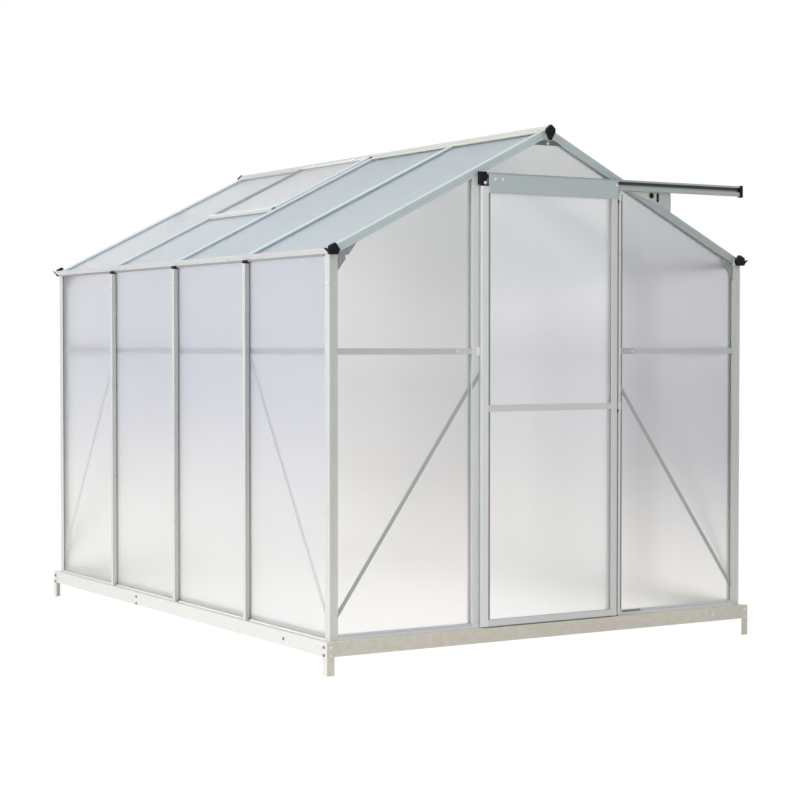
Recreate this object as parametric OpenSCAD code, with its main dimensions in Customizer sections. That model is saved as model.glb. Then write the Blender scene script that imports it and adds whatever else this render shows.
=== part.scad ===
// Garden greenhouse: aluminium glazing bars and twin-wall sheets on a galvanised base,
// with a sliding door in the front gable and a vent in the left roof slope.
// Millimetres. Origin on the ground under the middle of the base, front towards -Y, Z up.

/* [Overall] */
// Length of the base from front to rear
base_length = 2535; // [2200:5:3200]
// Width of the base
base_width = 1900; // [1800:5:2300]
// Height of the ridge caps above the ground
total_height = 1950; // [1900:5:2300]
// Height of the roof above the ground at the inner face of the side walls
eave_height = 1490; // [1420:5:1540]
// Number of glazed bays along each side
side_bays = 4; // [3:1:6]

/* [Base] */
// Height of the base's top flange above the ground
base_top = 117; // [90:1:150]
// Height of the base rails
base_rail_height = 52; // [40:1:70]
// Sheet thickness of the base rails
base_sheet = 2; // [1:0.5:3]
// Width of the base rails' top flange
base_flange = 62; // [61:1:90]
// Width of the base rails' bottom flange
base_lip = 24; // [15:1:40]
// Free ledge of the base in front of the frame
base_ledge = 25; // [24:1:30]
// Leg width of the corner stakes
stake_leg = 30; // [25:1:45]
// Thickness of the corner stakes
stake_sheet = 3; // [2:0.5:4]
// Distance of the side rails' joint from the rear of the base
splice_from_rear = 881; // [500:1:1200]
// Length of the plate behind the joint
splice_length = 100; // [60:1:160]

/* [Frame] */
// Side of the square corner posts
post_size = 33; // [30:1:36]
// Width of the studs
bar_width = 20; // [18:1:26]
// Depth of the rear studs and roof bars
bar_depth = 28; // [24:1:32]
// Height of the side studs' outer face outside the posts
stud_proud = 15; // [8:0.5:18]
// Depth of the side studs behind the sheets
stud_back = 6; // [4:0.5:10]
// Height of the sills
sill_height = 16; // [14:1:30]
// Height of the side sills' lip outside the sheets
sill_lip = 5; // [4:0.5:10]
// Height of the side sills' floor under the sheets
sill_floor = 2; // [1:0.5:3]
// Height of the mid rails' centre above the ground
mid_rail_level = 1118; // [950:1:1200]
// Width of the mid rails' face
mid_rail_width = 22; // [18:1:30]
// Depth of the mid rails
mid_rail_depth = 9; // [6:0.5:11]
// Width of the flat braces
brace_width = 14; // [10:1:20]
// Thickness of the flat braces
brace_sheet = 3; // [2:0.5:4]
// Height of the braces' lower end above the ground
brace_foot_level = 198; // [160:1:260]
// Height of the gable braces' upper end above the ground
gable_brace_level = 994; // [900:1:1060]
// Distance of the rear gable studs from the middle
rear_stud_place = 315; // [250:1:400]
// Width of the shallow line along the posts, jambs and rafters
line_width = 3; // [2:0.5:5]
// Depth of the shallow line
line_depth = 1.2; // [0.8:0.1:2]

/* [Roof] */
// Width of the roof bars
roof_bar_width = 24; // [18:1:30]
// Depth of the gable rafters
rafter_depth = 28; // [27:0.5:34]
// Width of the ridge rail
ridge_width = 32; // [28:1:40]
// Height of the ridge rail
ridge_height = 55; // [52:1:70]
// Height of the ridge rail's crest above the meeting line of the roof planes
ridge_rise = 9; // [6:1:14]
// Least thickness of the eave rails at their outer edge and over the side sheets' groove
eave_floor = 3.3; // [2:0.1:8]
// Overhang of the eave rails outside the walls
eave_overhang = 5; // [0:1:8]
// Reach of the gutter outside the eave rails
gutter_reach = 20; // [12:1:25]
// Height of the gutter's slanted lip
gutter_lip = 19; // [10:1:24]
// Wall thickness of the gutter at its tip
gutter_sheet = 3; // [2:0.5:4]
// Length of the eave rails and ridge rail beyond the gables
rail_overhang = 2; // [1:0.5:6]
// Depth of the plastic end caps
cap_depth = 18; // [10:0.5:20]
// Width of the end caps' rim around the rails
cap_rim = 3; // [2:0.5:5]
// Height of the eave caps' crown above the roof plane
cap_crown = 12; // [6:0.5:14]
// Distance of the crown's peak outside the posts' inner face
cap_peak = 18; // [10:0.5:24]
// Length of the eave gussets along the post
gusset_drop = 67; // [50:1:120]
// Length of the eave gussets along the rafter
gusset_reach = 82; // [50:1:120]
// Depth of the bolt notch in the eave gussets' edge
gusset_notch = 9; // [5:0.5:14]
// Height of the ridge gussets
ridge_gusset_height = 17; // [10:1:40]
// Thickness of the gusset plates
gusset_sheet = 3; // [2:0.5:4]

/* [Glazing] */
// Thickness of the twin-wall sheets
sheet = 4; // [3:0.5:6]
// Depth of the gable sheets' outer face behind the outer face of the bars
sheet_inset = 14; // [13:0.5:16]
// Depth of the side sheets' outer face behind the outer face of the posts
side_inset = 3; // [2.5:0.5:5]
// Depth of the roof sheets' outer face below the outer face of the roof bars
roof_inset = 7; // [6:0.5:9]
// Length by which a sheet's edge reaches into a bar
bite = 6; // [4:0.5:6]
// Length by which the side sheets reach into the eave rails
eave_bite = 3; // [2:0.5:4]
// Play on each face of a sheet in its groove
groove_play = 0.3; // [0.2:0.05:0.4]
// Play beyond a sheet's edge in its groove
groove_spare = 1; // [0.5:0.25:1]

/* [Door] */
// Width of the door leaf
door_width = 610; // [560:1:640]
// Clear width between the door jambs
doorway_width = 594; // [540:1:600]
// Width of the door jambs
jamb_width = 38; // [34:1:44]
// Thickness of the door leaf and depth of the track
leaf_depth = 14; // [13:0.5:14]
// Gap between the leaf and the front of the frame, and between the top plate and the track
leaf_gap = 5.5; // [5:0.1:6]
// Gap between the leaf and the base
leaf_floor_gap = 5; // [5:0.5:10]
// Gap between the leaf and the track
leaf_track_gap = 10; // [6:1:14]
// Width of the door stiles
stile_width = 27; // [22:1:34]
// Height of the door rails
door_rail_height = 24; // [20:1:32]
// Height of the door's mid rail above the ground
door_mid_level = 912; // [800:1:1000]
// Height of the top plate
top_plate_height = 66; // [60:1:80]
// Thickness of the top plate
top_plate_sheet = 3.5; // [2:0.5:3.5]
// Drop of the top plate's upper edge below the top of the track
top_plate_drop = 6; // [3:1:10]
// Distance of the rollers from the middle of the door
roller_place = 220; // [150:1:250]
// Radius of the rollers
roller_radius = 8; // [6:0.25:8.25]
// Width of the rollers
roller_width = 9; // [6:0.5:10]
// Radius of the rollers' axles
axle_radius = 3; // [2:0.25:4]

/* [Track] */
// Height of the track
track_height = 40; // [36:1:46]
// Thickness of the track's back wall
track_sheet = 2.5; // [1.5:0.5:3]
// Height of the track's foot, on which the rollers run
track_foot = 15.5; // [10:0.5:15.5]
// Height of the track's head over the rollers
track_head = 7; // [3:0.5:7]
// Drop of the track's top below the roof line at the jamb's outer edge, which sets the door's height
track_drop = 7.75; // [0:0.25:12]
// Length of the track to the left of the doorway
track_start = 13; // [10:1:30]
// Distance of the track's right end inside the edge of the base
track_inset = 40; // [30:1:80]
// Length of the right stop beyond the track
stop_length = 14; // [8:1:20]
// Height of the end stops beyond the track, and length of the left stop beyond it
stop_rim = 4; // [2:0.5:5]
// Length of the left stop's tongue in front of the track
stop_tongue = 26; // [15:1:26]
// Thickness of the tongue
tongue_sheet = 3; // [2:0.5:4]
// Height of the track bracket at its left edge
bracket_edge = 15; // [8:0.5:40]
// Width of the track bracket
bracket_width = 193; // [60:1:220]
// Thickness of the track bracket
bracket_sheet = 3; // [2:0.5:5]
// Height of the lintel
lintel_height = 40; // [30:1:50]
// Gap between the lintel and the rafters at the doorway's edge
lintel_gap = 27; // [15:1:40]

/* [Vent] */
// Number of the bay with the vent, counted from the front
vent_bay = 3; // [1:1:4]
// Length of the vent along the slope
vent_length = 525; // [400:5:650]
// Gap between the vent and the roof bars
vent_gap = 8; // [5:1:15]
// Width of the vent's side and top bars
vent_bar_width = 22; // [18:1:30]
// Width of the vent's bottom bar
vent_foot_width = 18; // [14:1:30]
// Depth of the vent's bars below the roof plane
vent_sink = 5; // [3:0.5:5]
// Height of the vent's bars above the roof plane
vent_proud = 6; // [5:0.5:8]
// Height of the vent's bottom bar above the roof plane
vent_foot_proud = 8; // [6:0.5:12]
// Width of the transom under the vent
transom_width = 20; // [16:1:30]

/* [Hidden] */
$fn = 48;
eps = 0.01;
beyond = 4000;

// Outlines of the base and of the frame, from the middle
base_x = base_width / 2;
base_y = base_length / 2;
frame_x = base_x - base_ledge;
frame_y = base_y - base_ledge;
inner_x = frame_x - post_size;
inner_y = frame_y - post_size;
sheet_x = frame_x - side_inset;
sheet_y = frame_y - sheet_inset;

// Grooves for the sheets
groove = sheet + 2 * groove_play;
groove_depth = bite + groove_spare;

// Base levels
rail_bottom = base_top - base_rail_height;
web_x = base_x - stake_sheet;
web_y = base_y - stake_sheet;
splice_y = base_y - splice_from_rear;
splice_gap = 0.6;
splice_sheet = 3;
splice_margin = 4;

// Roof planes, which run from the eave rails' inner face to the middle
roof_rise = total_height - cap_rim - ridge_rise - eave_height;
pitch = atan2(roof_rise, inner_x);
ridge_x = ridge_width / 2;
crest = total_height - cap_rim;
ridge_foot = crest - ridge_height;
crown_z = ridge_foot - groove_play;
function roof_z(x) = eave_height + (inner_x - abs(x)) * tan(pitch);
function under_roof_z(x, depth) = roof_z(x) - depth / cos(pitch);
function under_roof_x(z, depth) = inner_x - (z + depth / cos(pitch) - eave_height) / tan(pitch);
function slope_at(x, depth) = (inner_x - abs(x)) / cos(pitch) - depth * tan(pitch);

// Eave rails under the roof sheets, which end just inside the gutter
eave_out = frame_x + eave_overhang;
eave_seat = roof_inset + sheet + groove_play;
eave_groove_depth = eave_bite + groove_spare;
eave_groove_top = under_roof_z(sheet_x + groove_play, eave_seat) - eave_floor;
eave_bottom = min(under_roof_z(eave_out, eave_seat) - eave_floor, eave_groove_top - eave_groove_depth);
edge_gap = 2;
roof_edge = eave_out - edge_gap;
slope_low = slope_at(roof_edge, roof_inset);
slope_high = slope_at(ridge_x, roof_inset + sheet / 2);
gutter_x = eave_out + gutter_reach;
rail_end = frame_y + rail_overhang;

// Glazing
sill_top = base_top + sill_height;
bay_length = 2 * frame_y / side_bays;
function bar_y(i) = -frame_y + i * bay_length;
function bay_start(i, width) = i == 0 ? -inner_y : bar_y(i) + width / 2;
function bay_end(i, width) = i == side_bays - 1 ? inner_y : bar_y(i + 1) - width / 2;

// Door and track
jamb_in = doorway_width / 2;
jamb_out = jamb_in + jamb_width;
bracket_left = jamb_out + (track_drop + bracket_edge) / tan(pitch);
bracket_right = bracket_left + bracket_width;
track_top = roof_z(jamb_out) - track_drop;
track_bottom = track_top - track_height;
track_left = -jamb_in - track_start;
track_right = base_x - track_inset;
lintel_top = under_roof_z(jamb_in, rafter_depth) - lintel_gap;
lintel_bottom = lintel_top - lintel_height;
leaf_back = frame_y + leaf_gap;
leaf_front = leaf_back + leaf_depth;
leaf_mid = leaf_back + leaf_depth / 2;
track_front = leaf_front - leaf_gap;
track_depth = track_front - frame_y;
leaf_bottom = base_top + leaf_floor_gap;
leaf_top = track_bottom - leaf_track_gap;
leaf_x = door_width / 2;
leaf_in = leaf_x - stile_width;
roller_play = 0.5;
roller_z = track_bottom + track_foot + roller_radius + roller_play;
roller_mid = frame_y + (track_sheet + track_depth) / 2;
plate_top = track_top - top_plate_drop;
rail_back = sheet_y + groove_play;

// Vent, in the left slope, with lengths measured up the slope from the eave rail
vent_i = min(vent_bay, side_bays) - 1;
vent_seat = 0.3;
vent_top = slope_at(ridge_x, 0);
vent_low = vent_top - vent_length;
vent_start = bay_start(vent_i, roof_bar_width) + vent_gap;
vent_end = bay_end(vent_i, roof_bar_width) - vent_gap;
vent_sheet_low = (vent_proud - vent_sink - sheet) / 2;
transom_low = vent_low + vent_foot_width - transom_width;

// Finishes
galvanised = "#d9d8cd";
aluminium = "#c9cfcf";
plastic = "#18191a";
plate_grey = "#8d9496";
glazing = "#d7dde1";

// Helpers

// Both the shape and its mirror image across the middle plane of X
module both_sides() {
    children();
    mirror([1, 0, 0]) children();
}

// A profile drawn in X and Z, extruded along Y between two places
module along_y(from, to) {
    translate([0, to, 0]) rotate([90, 0, 0]) linear_extrude(to - from) children();
}

// A profile drawn in Y and Z, extruded along X between two places
module along_x(from, to) {
    translate([from, 0, 0]) rotate([90, 0, 90]) linear_extrude(to - from) children();
}

// A box between two corners
module box(low, high) {
    translate(low) cube(high - low);
}

// The left roof slope's own frame: X up the slope, Y along the ridge, Z out of the roof
module on_left_slope() {
    translate([-inner_x, 0, eave_height]) rotate([0, -pitch, 0]) children();
}

// What lies on the left eave rail, and between it and the ridge rail
module in_left_slope(ridge_gap = 0) {
    high_x = -ridge_x - ridge_gap;
    intersection() {
        on_left_slope() children();
        along_y(-beyond, beyond) polygon([
            [-inner_x, 0], [high_x, 0], [high_x, beyond], [-roof_edge, beyond],
            [-roof_edge, under_roof_z(roof_edge, eave_seat)], [-inner_x, under_roof_z(inner_x, eave_seat)]
        ]);
    }
}

// Glazing bar profile: outer face on the X axis, depth towards -Y, a groove for sheets in each chosen side
module bar_profile(width, depth, grooves, inset) {
    difference() {
        translate([-width / 2, -depth]) square([width, depth]);
        for (side = grooves) {
            edge = side * width / 2;
            translate([min(edge, edge - side * groove_depth) - eps, -inset - sheet - groove_play])
                square([groove_depth + 2 * eps, groove]);
        }
    }
}

// Base

// One length of base rail along X with its web towards -Y, mitred at the chosen ends
module base_rail(from, to, mitres) {
    skew = base_flange;
    intersection() {
        along_x(from, to) {
            translate([0, rail_bottom]) square([base_sheet, base_rail_height]);
            translate([0, base_top - base_sheet]) square([base_flange, base_sheet]);
            translate([0, rail_bottom]) square([base_lip, base_sheet]);
        }
        linear_extrude(base_top) polygon([
            [from, 0], [to, 0], [to - mitres[1] * skew, skew], [from + mitres[0] * skew, skew]
        ]);
    }
}

module base_front_rail() {
    color(galvanised) translate([0, -web_y, 0]) base_rail(-web_x, web_x, [1, 1]);
}

module base_rear_rail() {
    color(galvanised) rotate([0, 0, 180]) translate([0, -web_y, 0]) base_rail(-web_x, web_x, [1, 1]);
}

module base_side_rails() {
    color(galvanised) both_sides() translate([-web_x, 0, 0]) rotate([0, 0, -90]) {
        base_rail(-splice_y + splice_gap / 2, web_y, [0, 1]);
        base_rail(-web_y, -splice_y - splice_gap / 2, [1, 0]);
    }
}

module base_splice_plates() {
    low = rail_bottom + base_sheet + splice_margin;
    high = base_top - base_sheet - splice_margin;
    color(galvanised) both_sides() box(
        [-web_x + base_sheet, splice_y - splice_length / 2, low],
        [-web_x + base_sheet + splice_sheet, splice_y + splice_length / 2, high]
    );
}

module corner_stakes() {
    color(galvanised) both_sides() for (end = [0, 1]) mirror([0, end, 0])
        translate([-base_x, -base_y, 0]) linear_extrude(base_top) difference() {
            square(stake_leg);
            translate([stake_sheet, stake_sheet]) square(stake_leg);
        }
}

// Walls

// Groove for the sheets in the top of a sill or of the lintel
module sill_groove(height) {
    translate([sheet_inset - groove_play, height - groove_depth]) square([groove, groove_depth + eps]);
}

module front_sill() {
    color(aluminium) translate([0, -frame_y, base_top]) difference() {
        along_x(-inner_x, inner_x) square([post_size, sill_height]);
        both_sides() along_x(-inner_x - eps, -jamb_out + groove_depth) sill_groove(sill_height);
    }
}

module rear_sill() {
    color(aluminium) mirror([0, 1, 0]) translate([0, -frame_y, base_top]) along_x(-inner_x, inner_x)
        difference() {
            square([post_size, sill_height]);
            sill_groove(sill_height);
        }
}

// Left sill: a low lip outside the sheets and a higher wall inside them
module left_sill() {
    sheet_back = side_inset + sheet + groove_play;
    translate([-frame_x, 0, base_top]) along_y(-inner_y, inner_y) difference() {
        square([post_size, sill_height]);
        translate([-eps, sill_lip]) square([sheet_back + eps, sill_height]);
        translate([sheet_back - groove, sill_floor]) square([groove, sill_height]);
    }
}

module side_sills() {
    color(aluminium) both_sides() left_sill();
}

// Shallow line in an outer face that lies on the X axis, at a place along it
module face_line(place) {
    translate([place - line_width / 2, -eps]) square([line_width, line_depth + eps]);
}

// Front left post: the grooves face the rear and the middle
module corner_post() {
    translate([-frame_x, -frame_y, base_top]) linear_extrude(eave_bottom - base_top) difference() {
        square(post_size);
        face_line(post_size / 2);
        mirror([1, -1]) face_line(post_size / 2);
        translate([side_inset - groove_play, post_size - groove_depth]) square([groove, post_size]);
        translate([post_size - groove_depth, sheet_inset - groove_play]) square([post_size, groove]);
    }
}

module front_corner_posts() {
    color(aluminium) both_sides() corner_post();
}

module rear_corner_posts() {
    color(aluminium) mirror([0, 1, 0]) both_sides() corner_post();
}

// Side studs stand on the base in front of the sill and hold the sheets behind their outer part
module left_studs() {
    inset = stud_proud + side_inset;
    difference() {
        for (i = [1 : side_bays - 1])
            translate([-frame_x - stud_proud, bar_y(i), base_top]) rotate([0, 0, 90])
                linear_extrude(eave_bottom - base_top)
                    bar_profile(bar_width, inset + sheet + stud_back, [-1, 1], inset);
        left_sill();
    }
}

module left_wall_studs() {
    color(aluminium) left_studs();
}

module right_wall_studs() {
    color(aluminium) mirror([1, 0, 0]) left_studs();
}

// What lies under the gable rafters
module under_rafters() {
    along_y(-beyond, beyond) polygon([
        [-inner_x, 0], [inner_x, 0], [inner_x, under_roof_z(inner_x, rafter_depth)],
        [0, under_roof_z(0, rafter_depth)], [-inner_x, under_roof_z(inner_x, rafter_depth)]
    ]);
}

module rear_wall_studs() {
    color(aluminium) intersection() {
        both_sides() translate([-rear_stud_place, frame_y, sill_top])
            linear_extrude(total_height) bar_profile(bar_width, bar_depth, [-1, 1], sheet_inset);
        under_rafters();
    }
}

// The left jamb is grooved towards its gable sheet, and on both sides beside the sheet over the door
module left_jamb() {
    turn = lintel_top - groove_depth;
    translate([-(jamb_in + jamb_out) / 2, -frame_y, 0]) difference() {
        translate([0, 0, sill_top]) linear_extrude(total_height) mirror([0, 1]) difference() {
            bar_profile(jamb_width, post_size, [-1], sheet_inset);
            mirror([0, 1]) face_line(0);
        }
        translate([jamb_width / 2 - groove_depth, sheet_inset - groove_play, turn])
            cube([groove_depth + eps, groove, total_height]);
    }
}

module door_jambs() {
    color(aluminium) intersection() {
        both_sides() left_jamb();
        under_rafters();
    }
}

module door_lintel() {
    color(aluminium) translate([0, -frame_y, lintel_bottom]) along_x(-jamb_in, jamb_in) difference() {
        square([post_size, lintel_height]);
        sill_groove(lintel_height);
    }
}

// A mid rail of the front gable between two places, in front of the sheets
module gable_mid_rail(from, to) {
    box([from, -rail_back - mid_rail_depth, mid_rail_level - mid_rail_width / 2],
        [to, -rail_back, mid_rail_level + mid_rail_width / 2]);
}

module front_gable_rails() {
    color(aluminium) both_sides() gable_mid_rail(-inner_x, -jamb_out);
}

module rear_gable_rails() {
    stud_edge = rear_stud_place + bar_width / 2;
    color(aluminium) mirror([0, 1, 0]) {
        both_sides() gable_mid_rail(-inner_x, -stud_edge);
        gable_mid_rail(-stud_edge + bar_width, stud_edge - bar_width);
    }
}

// A flat strip in X and Z between two heights at two places, cut square to both places
module strip(from, to, low, high) {
    lean = atan2(high - low, to - from);
    half = brace_width / 2 / cos(lean);
    polygon([[from, low - half], [to, high - half], [to, high + half], [from, low + half]]);
}

module gable_braces(stud_edge) {
    both_sides() along_y(-rail_back - brace_sheet, -rail_back)
        strip(-inner_x, -stud_edge, brace_foot_level, gable_brace_level);
}

module front_gable_braces() {
    color(plate_grey) gable_braces(jamb_out);
}

module rear_gable_braces() {
    color(plate_grey) mirror([0, 1, 0]) gable_braces(rear_stud_place + bar_width / 2);
}

module side_wall_braces() {
    stud_edge = bar_y(1) - bar_width / 2;
    low_x = -sheet_x + sheet + groove_play;
    high = mid_rail_level - mid_rail_width;
    color(plate_grey) both_sides() for (end = [0, 1]) mirror([0, end, 0])
        translate([low_x, 0, 0]) along_x(0, brace_sheet)
            strip(-inner_y, stud_edge, brace_foot_level, high);
}

module side_wall_purlins() {
    inside = -sheet_x + sheet + stud_back;
    color(aluminium) both_sides() box(
        [inside, -inner_y, mid_rail_level - mid_rail_width / 2],
        [inside + mid_rail_depth, inner_y, mid_rail_level + mid_rail_width / 2]
    );
}

// Roof

// Slanted lip of the left gutter, drawn in X and Z
module gutter_profile() {
    polygon([
        [-eave_out + eps, eave_bottom], [-eave_out + eps, eave_bottom + 2 * gutter_sheet],
        [-gutter_x + gutter_sheet, eave_bottom + gutter_lip], [-gutter_x, eave_bottom + gutter_lip]
    ]);
}

module left_eave() {
    along_y(-rail_end, rail_end) difference() {
        union() {
            polygon([
                [-eave_out, eave_bottom], [-inner_x, eave_bottom],
                [-inner_x, under_roof_z(inner_x, eave_seat)], [-eave_out, under_roof_z(eave_out, eave_seat)]
            ]);
            gutter_profile();
        }
        translate([-sheet_x - groove_play, eave_bottom - eps]) square([groove, eave_groove_depth + eps]);
    }
}

module left_eave_rail() {
    color(aluminium) left_eave();
}

module right_eave_rail() {
    color(aluminium) mirror([1, 0, 0]) left_eave();
}

module ridge_rail() {
    shoulder_top = roof_z(ridge_x) + ridge_rise / 2;
    shoulder_low = ridge_foot + ridge_x / 2;
    color(aluminium) along_y(-rail_end, rail_end) difference() {
        polygon([
            [0, crest], [ridge_x, shoulder_top], [ridge_x, shoulder_low],
            [0, ridge_foot], [-ridge_x, shoulder_low], [-ridge_x, shoulder_top]
        ]);
        for (side = [0, 1]) mirror([side, 0]) translate([-inner_x, eave_height]) rotate(pitch)
            translate([slope_high - beyond, -roof_inset - sheet - groove_play])
                square([beyond + groove_depth, groove]);
    }
}

// Front left rafter: one groove towards the roof sheet, one below for the gable sheet
module left_rafter() {
    in_left_slope() translate([-beyond / 2, -frame_y, 0]) along_x(0, beyond) difference() {
        translate([0, -rafter_depth]) square([post_size, rafter_depth]);
        translate([post_size - groove_depth, -roof_inset - sheet - groove_play])
            square([groove_depth + eps, groove]);
        translate([sheet_inset - groove_play, -rafter_depth - eps]) square([groove, groove_depth + eps]);
        translate([-eps, -sheet_inset - line_width]) square([line_depth + eps, line_width]);
    }
}

module front_rafters() {
    color(aluminium) both_sides() left_rafter();
}

module rear_rafters() {
    color(aluminium) mirror([0, 1, 0]) both_sides() left_rafter();
}

module slope_bars() {
    in_left_slope() for (i = [1 : side_bays - 1])
        translate([-beyond / 2, bar_y(i), 0]) along_x(0, beyond)
            bar_profile(roof_bar_width, bar_depth, [-1, 1], roof_inset);
}

module left_roof_bars() {
    color(aluminium) slope_bars();
}

module right_roof_bars() {
    color(aluminium) mirror([1, 0, 0]) slope_bars();
}

// Gussets of the front gable: two at the eaves and one under the ridge
module gable_gussets() {
    corner = under_roof_z(inner_x, rafter_depth);
    reach_x = inner_x - gusset_reach;
    foot = [-inner_x, corner - gusset_drop];
    tip = [-reach_x, under_roof_z(reach_x, rafter_depth)];
    run = (tip - foot) / norm(tip - foot);
    inward = [-run[1], run[0]];
    middle = (foot + tip) / 2;
    low = crown_z - ridge_gusset_height;
    low_x = under_roof_x(low, rafter_depth);
    crown_x = under_roof_x(crown_z, rafter_depth);
    along_y(-rail_back - mid_rail_depth / 2 - gusset_sheet, -rail_back - mid_rail_depth / 2) {
        for (side = [0, 1]) mirror([side, 0]) polygon([
            foot, middle - run * gusset_notch, middle + inward * gusset_notch,
            middle + run * gusset_notch, tip, [-inner_x, corner]
        ]);
        polygon([[-low_x, low], [low_x, low], [crown_x, crown_z], [-crown_x, crown_z]]);
    }
}

module gusset_plates() {
    color(plate_grey) {
        gable_gussets();
        mirror([0, 1, 0]) gable_gussets();
    }
}

// Cap on the left eave rail: its crown follows the roof to a peak, its inner corner is cut back below
module eave_cap() {
    outer = eave_out + cap_rim;
    peak = inner_x + cap_peak;
    along_y(-rail_end - cap_depth, -rail_end) {
        polygon([
            [-outer, eave_bottom - cap_rim], [-inner_x - cap_peak / 2, eave_bottom - cap_rim],
            [-inner_x, eave_height - cap_peak - cap_rim],
            [-peak, roof_z(peak) + cap_crown], [-outer, roof_z(outer) + cap_crown]
        ]);
        gutter_profile();
    }
}

module eave_end_caps() {
    color(plastic) for (end = [0, 1]) mirror([0, end, 0]) both_sides() eave_cap();
}

// Cap on the ridge: a peaked shield that narrows to a point below
module ridge_end_caps() {
    half = ridge_x + cap_rim / 2;
    shoulder = roof_z(ridge_x) + ridge_rise / 2;
    waist = shoulder - ridge_rise - cap_rim;
    color(plastic) for (end = [0, 1]) mirror([0, end, 0]) along_y(-rail_end - cap_depth, -rail_end)
        polygon([
            [0, total_height], [half, shoulder], [half, waist],
            [0, ridge_foot], [-half, waist], [-half, shoulder]
        ]);
}

// Door track

// Track open to the front: the rollers run on its foot, under its top wall
module door_track() {
    color(aluminium) translate([0, -track_front, track_bottom]) along_x(track_left, track_right)
        difference() {
            square([track_depth, track_height]);
            translate([-eps, track_foot])
                square([track_depth - track_sheet + eps, track_height - track_head - track_foot]);
        }
}

// Plate that stands on the right rafter behind the track
module track_bracket() {
    color(aluminium) along_y(-frame_y, -frame_y + bracket_sheet) polygon([
        [bracket_left, roof_z(bracket_left)], [bracket_right, roof_z(bracket_right)],
        [bracket_right, track_top], [bracket_left, track_top]
    ]);
}

module track_end_stops() {
    low = track_bottom - stop_rim;
    high = track_top + stop_rim / 2;
    front = -track_front - tongue_sheet;
    color(plastic) {
        box([track_left - stop_rim, front, low], [track_left, -frame_y, high]);
        box([track_left - eps, front, low], [track_left + stop_tongue, -track_front, high]);
        box([track_right, front, low], [track_right + stop_length, -frame_y, high]);
    }
}

// Sheets

module left_sheets() {
    for (i = [0 : side_bays - 1])
        box([-sheet_x, bay_start(i, bar_width) - bite, base_top + sill_floor + groove_spare],
            [-sheet_x + sheet, bay_end(i, bar_width) + bite, eave_bottom + eave_bite]);
}

module left_wall_sheets() {
    color(glazing) left_sheets();
}

module right_wall_sheets() {
    color(glazing) mirror([1, 0, 0]) left_sheets();
}

// A roof sheet of the left slope in one bay, from the gutter up to the given length
module slope_sheet(i, high) {
    on_left_slope() box(
        [slope_low, bay_start(i, roof_bar_width) - bite, -roof_inset - sheet],
        [high, bay_end(i, roof_bar_width) + bite, -roof_inset]
    );
}

module left_roof_sheets() {
    color(glazing) for (i = [0 : side_bays - 1])
        slope_sheet(i, i == vent_i ? transom_low + bite : slope_high + bite);
}

module right_roof_sheets() {
    color(glazing) mirror([1, 0, 0]) for (i = [0 : side_bays - 1]) slope_sheet(i, slope_high + bite);
}

// A sheet of the front gable between two places, from a sill up into the rafters, clear of the eave rails
module gable_sheet(from, to, low) {
    depth = rafter_depth - bite;
    crown_x = under_roof_x(crown_z, depth);
    crown = from < 0 && to > 0 ? [[crown_x, crown_z], [-crown_x, crown_z]] : [];
    along_y(-sheet_y, -sheet_y + sheet) difference() {
        polygon(concat(
            [[from, low - bite], [to, low - bite], [to, under_roof_z(to, depth)]],
            crown, [[from, under_roof_z(from, depth)]]
        ));
        for (side = [0, 1]) mirror([side, 0])
            translate([inner_x - groove_play, eave_bottom - groove_play]) square(post_size);
    }
}

module front_gable_sheets() {
    color(glazing) {
        both_sides() gable_sheet(-inner_x - bite, -jamb_out + bite, sill_top);
        gable_sheet(-jamb_in - bite, jamb_in + bite, lintel_top);
    }
}

module rear_gable_sheets() {
    stud_half = bar_width / 2 - bite;
    color(glazing) mirror([0, 1, 0]) {
        both_sides() gable_sheet(-inner_x - bite, -rear_stud_place - stud_half, sill_top);
        gable_sheet(-rear_stud_place + stud_half, rear_stud_place - stud_half, sill_top);
    }
}

// Roof vent

// Groove around the inside of the vent's bars, between two lengths
module vent_groove(from, to) {
    box([from, vent_start + vent_bar_width - groove_depth, vent_sheet_low - groove_play],
        [to, vent_end - vent_bar_width + groove_depth, vent_sheet_low + sheet + groove_play]);
}

module vent_side_bars() {
    low = vent_low + vent_foot_width;
    high = vent_top - vent_bar_width;
    color(aluminium) on_left_slope() difference() {
        for (y = [vent_start, vent_end - vent_bar_width])
            box([low, y, -vent_sink], [high, y + vent_bar_width, vent_proud]);
        vent_groove(low - eps, high + eps);
    }
}

module vent_end_bars() {
    low = vent_low + vent_foot_width;
    high = vent_top - vent_bar_width;
    color(aluminium) in_left_slope(vent_seat) difference() {
        union() {
            box([vent_low, vent_start, -vent_sink], [low, vent_end, vent_foot_proud]);
            box([high, vent_start, -vent_sink], [vent_top + vent_bar_width, vent_end, vent_proud]);
        }
        vent_groove(low - groove_depth, high + groove_depth);
    }
}

module vent_sheet() {
    color(glazing) on_left_slope() box(
        [vent_low + vent_foot_width - bite, vent_start + vent_bar_width - bite, vent_sheet_low],
        [vent_top - vent_bar_width + bite, vent_end - vent_bar_width + bite, vent_sheet_low + sheet]
    );
}

module vent_transom() {
    from = bay_start(vent_i, roof_bar_width);
    to = bay_end(vent_i, roof_bar_width);
    color(aluminium) on_left_slope() along_y(from, to) translate([transom_low, 0]) difference() {
        translate([0, -bar_depth]) square([transom_width, bar_depth - vent_sink]);
        translate([-eps, -roof_inset - sheet - groove_play]) square([groove_depth + eps, groove]);
    }
}

// Door

// A door bar's profile across its depth: width along X, a groove in each chosen side
module leaf_profile(width, grooves) {
    difference() {
        translate([-width / 2, -leaf_depth / 2]) square([width, leaf_depth]);
        for (side = grooves) {
            edge = side * width / 2;
            translate([min(edge, edge - side * groove_depth) - eps, -groove / 2])
                square([groove_depth + 2 * eps, groove]);
        }
    }
}

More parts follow.
